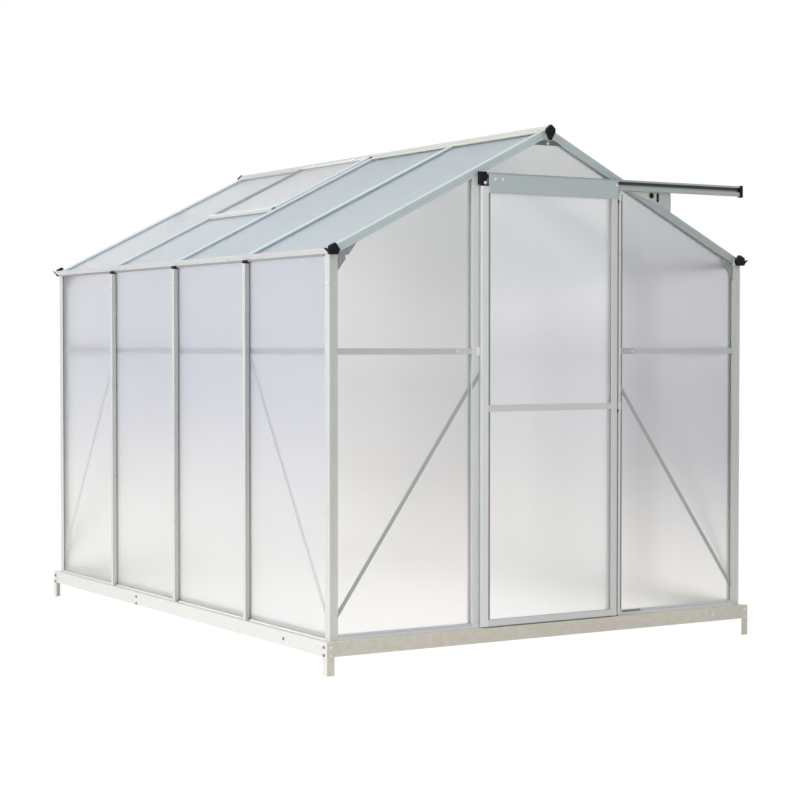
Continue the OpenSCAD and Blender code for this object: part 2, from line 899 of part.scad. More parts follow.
module door_stiles() {
    color(aluminium) both_sides() translate([-leaf_x + stile_width / 2, -leaf_mid, leaf_bottom])
        linear_extrude(leaf_top - leaf_bottom) leaf_profile(stile_width, [1]);
}

module door_rail(level, grooves) {
    translate([0, -leaf_mid, level]) along_x(-leaf_in, leaf_in)
        rotate(90) leaf_profile(door_rail_height, grooves);
}

module door_rails() {
    color(aluminium) {
        door_rail(leaf_bottom + door_rail_height / 2, [1]);
        door_rail(door_mid_level, [-1, 1]);
        door_rail(leaf_top - door_rail_height / 2, [-1]);
    }
}

module door_top_plate() {
    color(aluminium) box(
        [-leaf_in, -leaf_front - top_plate_sheet, plate_top - top_plate_height],
        [leaf_x, -leaf_front, plate_top]
    );
}

module door_sheet(low, high) {
    box([-leaf_in - bite, -leaf_mid - sheet / 2, low - bite],
        [leaf_in + bite, -leaf_mid + sheet / 2, high + bite]);
}

module door_sheets() {
    mid_low = door_mid_level - door_rail_height / 2;
    mid_high = door_mid_level + door_rail_height / 2;
    color(glazing) {
        door_sheet(leaf_bottom + door_rail_height, mid_low);
        door_sheet(mid_high, leaf_top - door_rail_height);
    }
}

module door_rollers() {
    color(plastic) both_sides() translate([-roller_place, -roller_mid, roller_z]) rotate([90, 0, 0]) {
        translate([0, 0, -roller_width / 2]) cylinder(r = roller_radius, h = roller_width);
        cylinder(r = axle_radius, h = leaf_front - roller_mid);
    }
}

base_front_rail();
base_rear_rail();
base_side_rails();
base_splice_plates();
corner_stakes();
front_sill();
rear_sill();
side_sills();
front_corner_posts();
rear_corner_posts();
left_wall_studs();
right_wall_studs();
rear_wall_studs();
door_jambs();
door_lintel();
left_eave_rail();
right_eave_rail();
ridge_rail();
front_rafters();
rear_rafters();
left_roof_bars();
right_roof_bars();
front_gable_rails();
rear_gable_rails();
front_gable_braces();
rear_gable_braces();
side_wall_braces();
side_wall_purlins();
gusset_plates();
eave_end_caps();
ridge_end_caps();
door_track();
track_bracket();
track_end_stops();
left_wall_sheets();
right_wall_sheets();
left_roof_sheets();
right_roof_sheets();
front_gable_sheets();
rear_gable_sheets();
vent_side_bars();
vent_end_bars();
vent_sheet();
vent_transom();
door_stiles();
door_rails();
door_top_plate();
door_sheets();
door_rollers();
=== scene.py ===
import math

import bmesh
import bpy
from mathutils import Matrix, Vector


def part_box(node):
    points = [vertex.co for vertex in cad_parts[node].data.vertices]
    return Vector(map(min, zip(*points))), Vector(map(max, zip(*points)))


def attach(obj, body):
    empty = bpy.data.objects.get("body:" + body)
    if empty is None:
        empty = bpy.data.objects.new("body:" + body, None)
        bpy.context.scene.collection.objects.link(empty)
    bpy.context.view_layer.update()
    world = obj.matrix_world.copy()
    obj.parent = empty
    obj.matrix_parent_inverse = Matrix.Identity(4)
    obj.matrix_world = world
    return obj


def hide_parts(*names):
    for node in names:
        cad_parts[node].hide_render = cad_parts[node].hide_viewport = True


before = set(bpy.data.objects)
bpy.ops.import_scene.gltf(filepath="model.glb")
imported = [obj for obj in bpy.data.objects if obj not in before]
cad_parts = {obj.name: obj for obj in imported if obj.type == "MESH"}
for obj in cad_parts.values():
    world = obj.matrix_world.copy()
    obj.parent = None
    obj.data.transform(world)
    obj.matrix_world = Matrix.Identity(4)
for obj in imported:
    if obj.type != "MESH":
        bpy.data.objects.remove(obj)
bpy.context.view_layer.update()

weld = 1e-5  # points closer than this are one point
flatAngle = 0.01  # faces that bend less than this become one
sharpAngle = 0.3  # edges that bend more than this are rounded
fineEdge = 0.0003  # roundings, from thin trim to mouldings
barEdge = 0.0005
rollerEdge = 0.0006
softEdge = 0.001
capEdge = 0.0012
edgeSteps = 2  # faces across a rounding
edgeProfile = 0.5  # the round one
faceWeight = 80  # how much more large faces count than small ones in the shading
digits = 4  # places that agree this far are level
alongX, alongY, alongZ = range(3)
xAxis = Vector((1, 0, 0))
yAxis = Vector((0, 1, 0))
zAxis = Vector((0, 0, 1))


class Wire:  # a socket that can stand in a sum
    def __init__(self, shade, socket):
        self.shade = shade
        self.socket = socket

    def sum(self, operation, first, second=0.0):
        return self.shade.node("Math", {"operation": operation}, {0: first, 1: second})

    def output(self, name):  # another output of the same node
        return Wire(self.shade, self.socket.node.outputs[name])

    def __add__(self, other):
        return self.sum("ADD", self, other)

    def __radd__(self, other):
        return self.sum("ADD", other, self)

    def __sub__(self, other):
        return self.sum("SUBTRACT", self, other)

    def __rsub__(self, other):
        return self.sum("SUBTRACT", other, self)

    def __mul__(self, other):
        return self.sum("MULTIPLY", self, other)

    def __rmul__(self, other):
        return self.sum("MULTIPLY", other, self)

    def sine(self):
        return self.sum("SINE", self)

    def larger(self, other):
        return self.sum("MAXIMUM", self, other)

    def smaller(self, other):
        return self.sum("MINIMUM", self, other)


class Shade:  # a node tree, filled node by node
    def __init__(self, tree):
        self.tree = tree
        tree.nodes.clear()

    def node(self, kind, settings=None, sockets=None, out=0):
        made = self.tree.nodes.new("ShaderNode" + kind)
        for name, value in (settings or {}).items():
            setattr(made, name, value)
        for name, value in (sockets or {}).items():
            if isinstance(value, Wire):
                self.tree.links.new(value.socket, made.inputs[name])
            else:
                made.inputs[name].default_value = value
        return Wire(self, made.outputs[out]) if made.outputs else None

    def mix(self, factor, first, second):  # 6, 7 and 2 are a mix node's colours
        return self.node("Mix", {"data_type": "RGBA"}, {0: factor, 6: first, 7: second}, out=2)

    def noise(self, vector, scale, detail=2.0, roughness=0.5):
        sockets = {"Vector": vector, "Scale": scale, "Detail": detail, "Roughness": roughness}
        return self.node("TexNoise", {}, sockets)

    def stretched(self, vector, scales):
        return self.node("VectorMath", {"operation": "MULTIPLY"}, {0: vector, 1: scales})

    def bump(self, height, distance, strength=1.0):
        sockets = {"Height": height, "Distance": distance, "Strength": strength}
        return self.node("Bump", {}, sockets)

    def place(self):  # where a point lies in the greenhouse
        return self.node("TexCoord", {}, {}, out="Object")

    def seenBehind(self):  # 1 for rays from the camera, off a gloss or through a sheet
        path = self.node("LightPath", {}, {}, out="Is Camera Ray")
        return path.larger(path.output("Is Glossy Ray")).larger(path.output("Is Transmission Ray"))

    def surface(self, sockets):
        shader = self.node("BsdfPrincipled", {}, sockets)
        self.node("OutputMaterial", {}, {"Surface": shader})


def newFinish(name):
    material = bpy.data.materials.new(name)
    material.use_nodes = True
    return material, Shade(material.node_tree)


# The roof's slope, read from the front rafters
rafterPoints = [point.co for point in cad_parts["front_rafters"].data.vertices]
eaveEnd = max(rafterPoints, key=lambda point: (round(point.x, digits), point.z))
ridgeEnd = max(rafterPoints, key=lambda point: (round(point.z, digits), point.x))
pitch = math.atan2(ridgeEnd.z - eaveEnd.z, eaveEnd.x - ridgeEnd.x)
leftSlope = Matrix.Translation((-eaveEnd.x, 0, eaveEnd.z)) @ Matrix.Rotation(-pitch, 4, "Y")


aluminiumLook = {
    "dull": (0.485, 0.508, 0.49, 1),
    "bright": (0.615, 0.63, 0.605, 1),
    "paintedFade": None,  # painted light and shade: the tones a bar fades to along an axis, and where
    "metallic": 0.3,
    "roughness": 0.36,
    "lines": 520,  # die lines to the metre across a bar
    "drift": 2.2,  # how slowly they change along it
    "lineShare": 0.55,  # of the tone, the rest is clouds
    "clouds": 7,
    "wear": 0.2,  # how much rougher the lines are
    "depth": 0.00005,
    "strength": 0.5,
}


def fadeTo(axis, start, stop, dull, bright):
    return {"axis": axis, "from": start, "to": stop, "dull": dull, "bright": bright}


# painted light: the uprights get lighter towards the foot
paintedFootLight = fadeTo(alongZ, 0.8, 0.2, (0.58, 0.575, 0.545, 1), (0.69, 0.685, 0.65, 1))
# painted shade: the jambs and stiles get darker to the right
paintedDoorShade = fadeTo(alongX, -0.25, 0.25, (0.57, 0.585, 0.58, 1), (0.69, 0.70, 0.69, 1))
# painted shade: the front rafters get darker to the right
paintedRightShade = fadeTo(alongX, -0.1, 0.6, (0.36, 0.41, 0.41, 1), (0.46, 0.51, 0.51, 1))
uprightLook = dict(aluminiumLook, paintedFade=paintedFootLight)
jambLook = dict(aluminiumLook, dull=(0.61, 0.635, 0.63, 1), bright=(0.73, 0.75, 0.745, 1), paintedFade=paintedDoorShade)
stileLook = dict(jambLook, dull=(0.66, 0.685, 0.685, 1), bright=(0.78, 0.80, 0.80, 1))
railLook = dict(aluminiumLook, dull=(0.45, 0.48, 0.495, 1), bright=(0.57, 0.595, 0.61, 1))
doorRailLook = dict(aluminiumLook, dull=(0.555, 0.555, 0.555, 1), bright=(0.675, 0.675, 0.675, 1))
topPlateLook = dict(aluminiumLook, dull=(0.41, 0.475, 0.49, 1), bright=(0.52, 0.585, 0.60, 1))
rafterLook = dict(aluminiumLook, dull=(0.45, 0.53, 0.54, 1), bright=(0.57, 0.64, 0.65, 1), paintedFade=paintedRightShade)
roofBarLook = dict(aluminiumLook, dull=(0.58, 0.68, 0.72, 1), bright=(0.70, 0.79, 0.82, 1))
eaveLook = dict(aluminiumLook, dull=(0.58, 0.58, 0.592, 1), bright=(0.68, 0.68, 0.692, 1))
# painted shade: the track's darker tone stands for the shade along it
trackLook = dict(aluminiumLook, dull=(0.36, 0.395, 0.405, 1), bright=(0.48, 0.515, 0.525, 1))
paleBarLook = dict(aluminiumLook, dull=(0.73, 0.73, 0.725, 1), bright=(0.82, 0.82, 0.815, 1), metallic=0.1)
# painted light: a lighter copy of the pale aluminium that lifts the shade on the right and the rear
paintedLightBarLook = dict(paleBarLook, dull=(0.86, 0.855, 0.84, 1), bright=(0.94, 0.935, 0.92, 1))
ventBarLook = dict(aluminiumLook, dull=(0.64, 0.665, 0.665, 1), bright=(0.74, 0.76, 0.755, 1), metallic=0.15)


def aluminium(name, along, look):
    material, shade = newFinish(name)
    place = shade.place()
    if along == "slope":
        place = shade.node("VectorMath", {"operation": "ABSOLUTE"}, {0: place})
        place = shade.node("VectorRotate", {"rotation_type": "Y_AXIS"}, {"Vector": place, "Angle": -pitch})
    runs = {"x": (1, 0, 0), "y": (0, 1, 0), "z": (0, 0, 1), "slope": (1, 0, 0)}[along]
    scales = tuple(look["drift"] if run else look["lines"] for run in runs)
    lines = shade.noise(shade.stretched(place, scales), 1.0, detail=3.0, roughness=0.6)
    clouds = shade.noise(place, look["clouds"], detail=3.0)
    tone = look["lineShare"] * lines + (1 - look["lineShare"]) * clouds
    colour = shade.mix(tone, look["dull"], look["bright"])
    # Painted light and shade: the bar's tones shift along an axis towards lighter or darker ones
    paintedFade = look["paintedFade"]
    if paintedFade:
        way = shade.node("SeparateXYZ", {}, {0: shade.place()}, out=paintedFade["axis"])
        share = (way - paintedFade["from"]) * (1 / (paintedFade["to"] - paintedFade["from"]))
        colour = shade.mix(share, colour, shade.mix(tone, paintedFade["dull"], paintedFade["bright"]))
    shade.surface({
        "Base Color": colour,
        "Roughness": look["roughness"] + look["wear"] * lines,
        "Metallic": look["metallic"],
        "Normal": shade.bump(lines, look["depth"], look["strength"]),
    })
    return material


zincLook = {
    "dull": (0.525, 0.50, 0.425, 1),
    "bright": (0.725, 0.69, 0.60, 1),
    "metallic": 0.2,
    "roughness": 0.42,
    "spangle": 70,  # crystals to the metre
    "wander": 40,
    "clouds": 5,
    "shares": (0.3, 0.2, 0.5),  # of spangle, wander and clouds in the tone
    "wear": 0.16,
    "depth": 0.00004,
    "strength": 0.4,
}
# Painted light: lighter copies of the zinc, one for side faces and tops, one that lifts the shade on the
# right and the rear
paintedSideLightZincLook = dict(zincLook, dull=(0.61, 0.605, 0.58, 1), bright=(0.72, 0.715, 0.69, 1))
paintedLightZincLook = dict(zincLook, dull=(0.80, 0.79, 0.765, 1), bright=(0.90, 0.89, 0.865, 1))


def galvanisedSheet(name, look):
    material, shade = newFinish(name)
    place = shade.place()
    wander = shade.noise(place, look["wander"])
    crystals = shade.node("TexVoronoi", {}, {"Vector": place, "Scale": look["spangle"]}, out="Color")
    spangle = shade.node("SeparateColor", {}, {0: crystals})
    clouds = shade.noise(place, look["clouds"], detail=4.0)
    spangleShare, wanderShare, cloudShare = look["shares"]
    tone = spangleShare * spangle + wanderShare * wander + cloudShare * clouds
    shade.surface({
        "Base Color": shade.mix(tone, look["dull"], look["bright"]),
        "Roughness": look["roughness"] + look["wear"] * spangle,
        "Metallic": look["metallic"],
        "Normal": shade.bump(spangle + wander, look["depth"], look["strength"]),
    })
    return material


plateLook = {
    "dull": (0.24, 0.25, 0.255, 1),
    "bright": (0.36, 0.37, 0.375, 1),
    "metallic": 0.45,
    "roughness": 0.4,
    "clouds": 60,
    "cloudShare": 0.7,  # of the tone, the rest is grain
    "grain": 900,
    "wear": 0.2,
    "depth": 0.00005,
    "strength": 0.4,
}


def plateSteel(name, look):
    material, shade = newFinish(name)
    place = shade.place()
    clouds = shade.noise(place, look["clouds"], detail=4.0)
    grain = shade.noise(place, look["grain"])
    tone = look["cloudShare"] * clouds + (1 - look["cloudShare"]) * grain
    shade.surface({
        "Base Color": shade.mix(tone, look["dull"], look["bright"]),
        "Roughness": look["roughness"] + look["wear"] * clouds,
        "Metallic": look["metallic"],
        "Normal": shade.bump(grain, look["depth"], look["strength"]),
    })
    return material


darkPlateLook = dict(plateLook, dull=(0.115, 0.122, 0.128, 1), bright=(0.2, 0.21, 0.215, 1))
braceLook = dict(plateLook, dull=(0.34, 0.345, 0.345, 1), bright=(0.46, 0.465, 0.465, 1))
paleBraceLook = dict(plateLook, dull=(0.80, 0.81, 0.81, 1), bright=(0.9, 0.91, 0.91, 1), metallic=0.1)
# painted shade: the blue-grey of the shaded channel on the front sill
channelShadeLook = dict(plateLook, dull=(0.53, 0.555, 0.61, 1), bright=(0.65, 0.675, 0.72, 1), metallic=0.2)
blueCleatLook = dict(plateLook, dull=(0.40, 0.43, 0.46, 1), bright=(0.52, 0.55, 0.58, 1), metallic=0.2)
bracketLook = dict(plateLook, dull=(0.43, 0.465, 0.475, 1), bright=(0.54, 0.575, 0.585, 1), metallic=0.2)
boltLook = dict(plateLook, dull=(0.62, 0.63, 0.63, 1), bright=(0.82, 0.83, 0.82, 1), roughness=0.28)
cleatLook = dict(plateLook, dull=(0.56, 0.56, 0.48, 1), bright=(0.7, 0.7, 0.62, 1), metallic=0.15)


mouldedLook = {
    "dull": (0.004, 0.004, 0.005, 1),
    "bright": (0.010, 0.010, 0.011, 1),
    "roughness": 0.5,
    "gloss": 0.15,
    "grain": 1300,
    "clouds": 30,
    "wear": 0.14,
    "depth": 0.00012,
    "strength": 0.35,
}
rubberLook = dict(mouldedLook, dull=(0.01, 0.0105, 0.011, 1), bright=(0.022, 0.023, 0.024, 1), roughness=0.62)
# painted shade: the dark in the track's groove
grooveShadeLook = dict(mouldedLook, dull=(0.075, 0.08, 0.07, 1), bright=(0.105, 0.11, 0.10, 1), roughness=0.62)
# grey for real seals, clips and plugs, and for strips of painted shade
greySealAndShadeLook = dict(mouldedLook, dull=(0.24, 0.245, 0.24, 1), bright=(0.33, 0.335, 0.325, 1), roughness=0.6)
# painted shade: the gap beside the vent's rear bar
ventGapShadeLook = dict(mouldedLook, dull=(0.30, 0.32, 0.355, 1), bright=(0.39, 0.41, 0.445, 1), roughness=0.6)
whiteLook = dict(mouldedLook, dull=(0.84, 0.85, 0.84, 1), bright=(0.94, 0.94, 0.93, 1), roughness=0.4)


def moulded(name, look):
    material, shade = newFinish(name)
    place = shade.place()
    grain = shade.noise(place, look["grain"])
    clouds = shade.noise(place, look["clouds"], detail=3.0)
    shade.surface({
        "Base Color": shade.mix(clouds, look["dull"], look["bright"]),
        "Roughness": look["roughness"] + look["wear"] * grain,
        "Specular IOR Level": look["gloss"],
        "Normal": shade.bump(grain, look["depth"], look["strength"]),
    })
    return material


noLimit = 9  # a place far outside the greenhouse
twinWallLook = {
    "light": (1.0, 0.995, 0.985, 1),
    "deep": (0.878, 0.885, 0.93, 1),
    "paintedShadeRates": (0, -0.16, 1.9),  # how fast the painted shade deepens along each axis: lighter low down, where the floor shows through, and towards the rear
    "upTo": (noLimit, noLimit, 0.93),  # and where it stops
    "start": -0.75,
    "paintedLightAbove": (1.1, 0.0, 0.0),  # where painted light starts to lift the tone again above, how fast, and over what height
    "contrast": 0.06,  # of streaks, clouds and webs
    "cloudShare": 0.5,
    "swellShare": 0.3,
    "middle": 0.9,  # their sum where they leave the tone as it is
    "pitch": 0.006,  # from web to web
    "swell": 0.0001,  # how far the skin swells between two webs
    "roughness": 0.33,
    "transmission": 1.0,
    "ior": 1.25,
    "streaks": 26,
    "stretch": 0.05,  # the streaks' scale along the webs, as a share of that across
    "clouds": 1.6,
    "streakWear": 0.08,
    "swellWear": 0.05,
}
# Painted shade on the gable and door sheets: darker to the right and higher up, lighter again near the top
gableLook = dict(twinWallLook, light=(0.935, 0.918, 0.895, 1), deep=(0.63, 0.628, 0.635, 1),
                 paintedShadeRates=(0.4, 0, 1.6), upTo=(noLimit, noLimit, 0.7), start=-0.47,
                 paintedLightAbove=(1.0, 1.6, 0.12), contrast=0.12)
doorLook = dict(gableLook, light=(0.97, 0.965, 0.95, 1), paintedShadeRates=(0.3, 0, 0.2), start=0.18,
                paintedLightAbove=(1.1, 1.6, 0.9))
# Painted shade on the roof sheets: darker towards the front
rightRoofLook = dict(twinWallLook, light=(0.98, 0.99, 1.0, 1), deep=(0.94, 0.965, 0.98, 1),
                     paintedShadeRates=(0, -0.8, 0), start=0.75)
leftRoofLook = dict(rightRoofLook, light=(0.955, 0.99, 1.0, 1), deep=(0.765, 0.85, 0.90, 1))
ventLook = dict(rightRoofLook, light=(0.985, 1.0, 1.0, 1), deep=(0.98, 0.995, 1.0, 1))


def twinWall(name, across, look):
    material, shade = newFinish(name)
    place = shade.place()
    flutes = shade.node("SeparateXYZ", {}, {0: place}, out=across) * (2 * math.pi / look["pitch"])
    swell = 0.5 + 0.5 * flutes.sine()
    scales = [look["streaks"] * look["stretch"]] * 3
    scales[across] = look["streaks"]
    streaks = shade.noise(shade.stretched(place, tuple(scales)), 1.0, detail=3.0, roughness=0.6)
    clouds = shade.noise(place, look["clouds"])
    # Painted shade: the tone deepens along the axes by the given rates, up to a limit
    limited = shade.node("VectorMath", {"operation": "MINIMUM"}, {0: place, 1: look["upTo"]})
    rates = {0: limited, 1: look["paintedShadeRates"]}
    rise = shade.node("VectorMath", {"operation": "DOT_PRODUCT"}, rates, out="Value")
    pattern = streaks + look["cloudShare"] * clouds + look["swellShare"] * swell - look["middle"]
    tone = rise + look["start"] + look["contrast"] * pattern
    level, rate, most = look["paintedLightAbove"]
    # painted light: the tone lightens again above a level
    if rate:
        height = shade.node("SeparateXYZ", {}, {0: place}, out=alongZ)
        tone = tone - rate * (height - level).larger(0.0).smaller(most)
    shade.surface({
        "Base Color": shade.mix(tone, look["light"], look["deep"]),
        "Roughness": look["roughness"] + look["streakWear"] * streaks + look["swellWear"] * swell,
        "Transmission Weight": look["transmission"],
        "IOR": look["ior"],
        "Normal": shade.bump(swell, look["swell"]),
    })
    return material


finishes = {
    "rail": aluminium("aluminium_rail", "x", railLook),
    "doorRail": aluminium("aluminium_door_rail", "x", doorRailLook),
    "topPlate": aluminium("aluminium_top_plate", "x", topPlateLook),
    "ridge": aluminium("aluminium_ridge", "y", aluminiumLook),
    "upright": aluminium("aluminium_upright", "z", uprightLook),
    "jamb": aluminium("aluminium_jamb", "z", jambLook),
    "stile": aluminium("aluminium_stile", "z", stileLook),
    "rafter": aluminium("aluminium_rafter", "slope", rafterLook),
    "roofBar": aluminium("aluminium_roof_bar", "slope", roofBarLook),
    "eaveRail": aluminium("aluminium_eave_rail", "y", eaveLook),
    "track": aluminium("aluminium_track", "x", trackLook),
    "paleBar": aluminium("pale_aluminium", "y", paleBarLook),
    "whiteBar": aluminium("aluminium_painted_light", "y", paintedLightBarLook),
    "ventSide": aluminium("aluminium_vent_side", "slope", ventBarLook),
    "ventEnd": aluminium("aluminium_vent_end", "y", ventBarLook),
    "zincSheet": galvanisedSheet("galvanised_sheet", zincLook),
    "paleZinc": galvanisedSheet("galvanised_sheet_painted_side_light", paintedSideLightZincLook),
    "whiteZinc": galvanisedSheet("galvanised_sheet_painted_light", paintedLightZincLook),
    "plate": plateSteel("zinc_plate", plateLook),
    "darkPlate": plateSteel("dark_zinc_plate", darkPlateLook),
    "brace": plateSteel("brace_strip", braceLook),
    "paleBrace": plateSteel("pale_brace_strip", paleBraceLook),
    "channelShade": plateSteel("sill_channel_painted_shade", channelShadeLook),
    "blueCleat": plateSteel("blue_zinc_cleat", blueCleatLook),
    "bracket": plateSteel("zinc_bracket", bracketLook),
    "bolt": plateSteel("bright_zinc", boltLook),
    "cleat": plateSteel("passivated_zinc", cleatLook),
    "plastic": moulded("black_moulding", mouldedLook),
    "rubber": moulded("rubber_gasket", rubberLook),
    "grooveShade": moulded("track_groove_painted_shade", grooveShadeLook),
    "greySealAndShade": moulded("grey_seal_and_painted_shade", greySealAndShadeLook),
    "ventGapShade": moulded("vent_gap_painted_shade", ventGapShadeLook),
    "whitePlastic": moulded("white_moulding", whiteLook),
    "wallSheet": twinWall("twin_wall_sheet_side", alongY, twinWallLook),
    "rearSheet": twinWall("twin_wall_sheet_rear", alongX, twinWallLook),
    "gableSheet": twinWall("twin_wall_sheet_gable", alongX, gableLook),
    "doorSheet": twinWall("twin_wall_sheet_door", alongX, doorLook),
    "leftRoofSheet": twinWall("twin_wall_sheet_left_roof", alongY, leftRoofLook),
    "rightRoofSheet": twinWall("twin_wall_sheet_right_roof", alongY, rightRoofLook),
    "ventSheet": twinWall("twin_wall_sheet_vent", alongY, ventLook),
}
print("finishes:", len(finishes))


def finishPiece(name, form, finish, body):  # a form becomes a piece that rides on a body
    mesh = bpy.data.meshes.new(name)
    bmesh.ops.recalc_face_normals(form, faces=form.faces)
    for face in form.faces:
        face.smooth = True
    form.to_mesh(mesh)
    form.free()
    piece = bpy.data.objects.new(name, mesh)
    bpy.context.scene.collection.objects.link(piece)
    mesh.materials.append(finishes[finish])
    shading = piece.modifiers.new("edges", "WEIGHTED_NORMAL")
    shading.weight = faceWeight
    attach(piece, body)
    return piece


def roundEdges(form, rounding, edges=None):
    sharp = [edge for edge in edges or form.edges
             if len(edge.link_faces) == 2 and edge.calc_face_angle(0) > sharpAngle]
    bmesh.ops.bevel(form, geom=sharp, offset=rounding, segments=edgeSteps, profile=edgeProfile,
                    affect="EDGES")


def dressNode(node, finish, body, rounding):  # the node's own shape, with its edges rounded
    form = bmesh.new()
    form.from_mesh(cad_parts[node].data)
    bmesh.ops.remove_doubles(form, verts=form.verts, dist=weld)
    bmesh.ops.dissolve_limit(form, angle_limit=flatAngle, verts=form.verts, edges=form.edges)
    roundEdges(form, rounding)
    piece = finishPiece(node + "_dressed", form, finish, body)
    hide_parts(node)
    return piece


dressing = {
    ("rail", "aluminium", "house", barEdge): ["door_lintel", "front_gable_rails", "rear_gable_rails"],
    ("track", "aluminium", "house", barEdge): ["door_track"],
    ("ridge", "aluminium", "house", barEdge): ["ridge_rail", "vent_transom"],
    ("eaveRail", "aluminium", "house", barEdge): ["left_eave_rail"],
    # on the side sills the pale tone is painted light that lifts the shade of their inner walls behind the
    # sheets
    ("paleBar", "aluminium", "house", barEdge): ["front_sill", "side_sills", "side_wall_purlins"],
    # painted light: the right eave rail and the rear sill lighter, lifting the shade on the unlit sides
    ("whiteBar", "aluminium", "house", barEdge): ["right_eave_rail", "rear_sill"],
    ("upright", "aluminium", "house", barEdge): [
        "front_corner_posts", "rear_corner_posts", "left_wall_studs", "right_wall_studs", "rear_wall_studs",
    ],
    ("jamb", "aluminium", "house", barEdge): ["door_jambs"],
    ("rafter", "aluminium", "house", barEdge): ["front_rafters"],
    ("roofBar", "aluminium", "house", barEdge): ["rear_rafters", "left_roof_bars", "right_roof_bars"],
    ("ventSide", "aluminium", "house", barEdge): ["vent_side_bars"],
    ("ventEnd", "aluminium", "house", barEdge): ["vent_end_bars"],
    ("bracket", "aluminium", "house", barEdge): ["track_bracket"],
    ("zincSheet", "galvanised_steel", "house", barEdge): ["base_front_rail", "corner_stakes"],
    # painted light: the rear rail lighter, lifting the shade on the unlit side
    ("whiteZinc", "galvanised_steel", "house", barEdge): ["base_rear_rail"],
    # painted light: the side rails and splice plates in the lighter copy of the zinc
    ("paleZinc", "galvanised_steel", "house", barEdge): ["base_side_rails", "base_splice_plates"],
    ("plate", "plate_grey", "house", barEdge): ["gusset_plates"],
    ("brace", "plate_grey", "house", barEdge): ["front_gable_braces", "rear_gable_braces"],
    ("paleBrace", "plate_grey", "house", barEdge): ["side_wall_braces"],
    ("plastic", "black_plastic", "house", capEdge): ["eave_end_caps", "ridge_end_caps", "track_end_stops"],
    ("stile", "aluminium", "door", barEdge): ["door_stiles"],
    ("doorRail", "aluminium", "door", barEdge): ["door_rails"],
    ("topPlate", "aluminium", "door", barEdge): ["door_top_plate"],
    ("plastic", "black_plastic", "door", rollerEdge): ["door_rollers"],
}
dressed = {}
for (finish, slot, body, rounding), nodes in dressing.items():
    for node in nodes:
        dressed[node] = dressNode(node, finish, body, rounding)


def secondFinish(node, finish, chosen):  # another finish on the faces of a dressed node that are chosen
    mesh = dressed[node].data
    mesh.materials.append(finishes[finish])
    for face in mesh.polygons:
        face.material_index = 1 if chosen(face) else 0


nearRidge = 0.2
facingIt = 0.7  # the share of a normal that counts as facing along an axis
secondFinish("gusset_plates", "darkPlate", lambda face: abs(face.center.x) < nearRidge)
secondFinish("corner_stakes", "paleZinc", lambda face: abs(face.normal.x) > facingIt)  # painted light: the side faces of the stakes take the lighter tone of the side rails
# painted light: the front rail's top faces lighter, as lit from above
secondFinish("base_front_rail", "paleZinc", lambda face: face.normal.z > facingIt)
# painted light: the faces on the right, the unlit side, lighter still
secondFinish("base_side_rails", "whiteZinc", lambda face: face.center.x > 0)
# painted light: the side sills' faces on the right, the unlit side, lighter still
secondFinish("side_sills", "whiteBar", lambda face: face.center.x > 0)
print("dressed nodes:", len(dressed))


glazing = {
    "wallSheet": ["left_wall_sheets", "right_wall_sheets"],
    "leftRoofSheet": ["left_roof_sheets"],
    "rightRoofSheet": ["right_roof_sheets"],
    "ventSheet": ["vent_sheet"],
    "gableSheet": ["front_gable_sheets"],
    "rearSheet": ["rear_gable_sheets"],
    "doorSheet": ["door_sheets"],
}
for finish, nodes in glazing.items():
    for node in nodes:
        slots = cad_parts[node].data.materials
        slots.clear()
        slots.append(finishes[finish])
print("glazed nodes:", sum(len(nodes) for nodes in glazing.values()))


def solidBoxes(node, basis=None):  # lowest and highest corner of each solid in a node
    form = bmesh.new()
    form.from_mesh(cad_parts[node].data)
    bmesh.ops.remove_doubles(form, verts=form.verts, dist=weld)
    boxes = []
    seen = set()
    for start in form.verts:
        if start in seen:
            continue
        group = [start]
        seen.add(start)
        for point in group:
            for edge in point.link_edges:
                other = edge.other_vert(point)
                if other not in seen:
                    seen.add(other)
                    group.append(other)
        places = [basis @ point.co if basis else point.co for point in group]
        boxes.append((Vector(map(min, zip(*places))), Vector(map(max, zip(*places)))))
    form.free()
    return sorted(boxes, key=lambda pair: tuple(round(value, digits) for value in pair[0]))


def facing(point, direction):  # a basis on a point whose Z points out along a direction
    turn = zAxis.rotation_difference(Vector(direction)).to_matrix().to_4x4()
    return Matrix.Translation(point) @ turn


def turned(form, profile, sides, basis):  # a closed turned solid from pairs of radius and height
    rings = []
    for radius, height in profile:
        turns = [2 * math.pi * step / sides for step in range(sides)]
        points = [Vector((radius * math.cos(turn), radius * math.sin(turn), height)) for turn in turns]
        rings.append([form.verts.new(basis @ point) for point in points])
    for low, high in zip(rings, rings[1:]):
        for step in range(sides):
            after = (step + 1) % sides
            form.faces.new((low[step], low[after], high[after], high[step]))
    form.faces.new(rings[0][::-1])
    form.faces.new(rings[-1])


def plateShape(form, outline, low, high, basis, rounding):  # an outline pulled between two heights
    piece = bmesh.new()
    base = [piece.verts.new((x, y, low)) for x, y in outline]
    top = [piece.verts.new((x, y, high)) for x, y in outline]
    piece.faces.new(base[::-1])
    piece.faces.new(top)
    for step in range(len(outline)):
        after = (step + 1) % len(outline)
        piece.faces.new((base[step], base[after], top[after], top[step]))
    roundEdges(piece, rounding)
    bmesh.ops.transform(piece, matrix=basis, verts=piece.verts)
    mesh = bpy.data.meshes.new("part")
    piece.to_mesh(mesh)
    piece.free()
    form.from_mesh(mesh)
    bpy.data.meshes.remove(mesh)


def block(form, low, high, rounding=barEdge, basis=Matrix.Identity(4)):  # a rounded block between two corners
    outline = [(low[0], low[1]), (high[0], low[1]), (high[0], high[1]), (low[0], high[1])]
    plateShape(form, outline, low[2], high[2], basis, rounding)


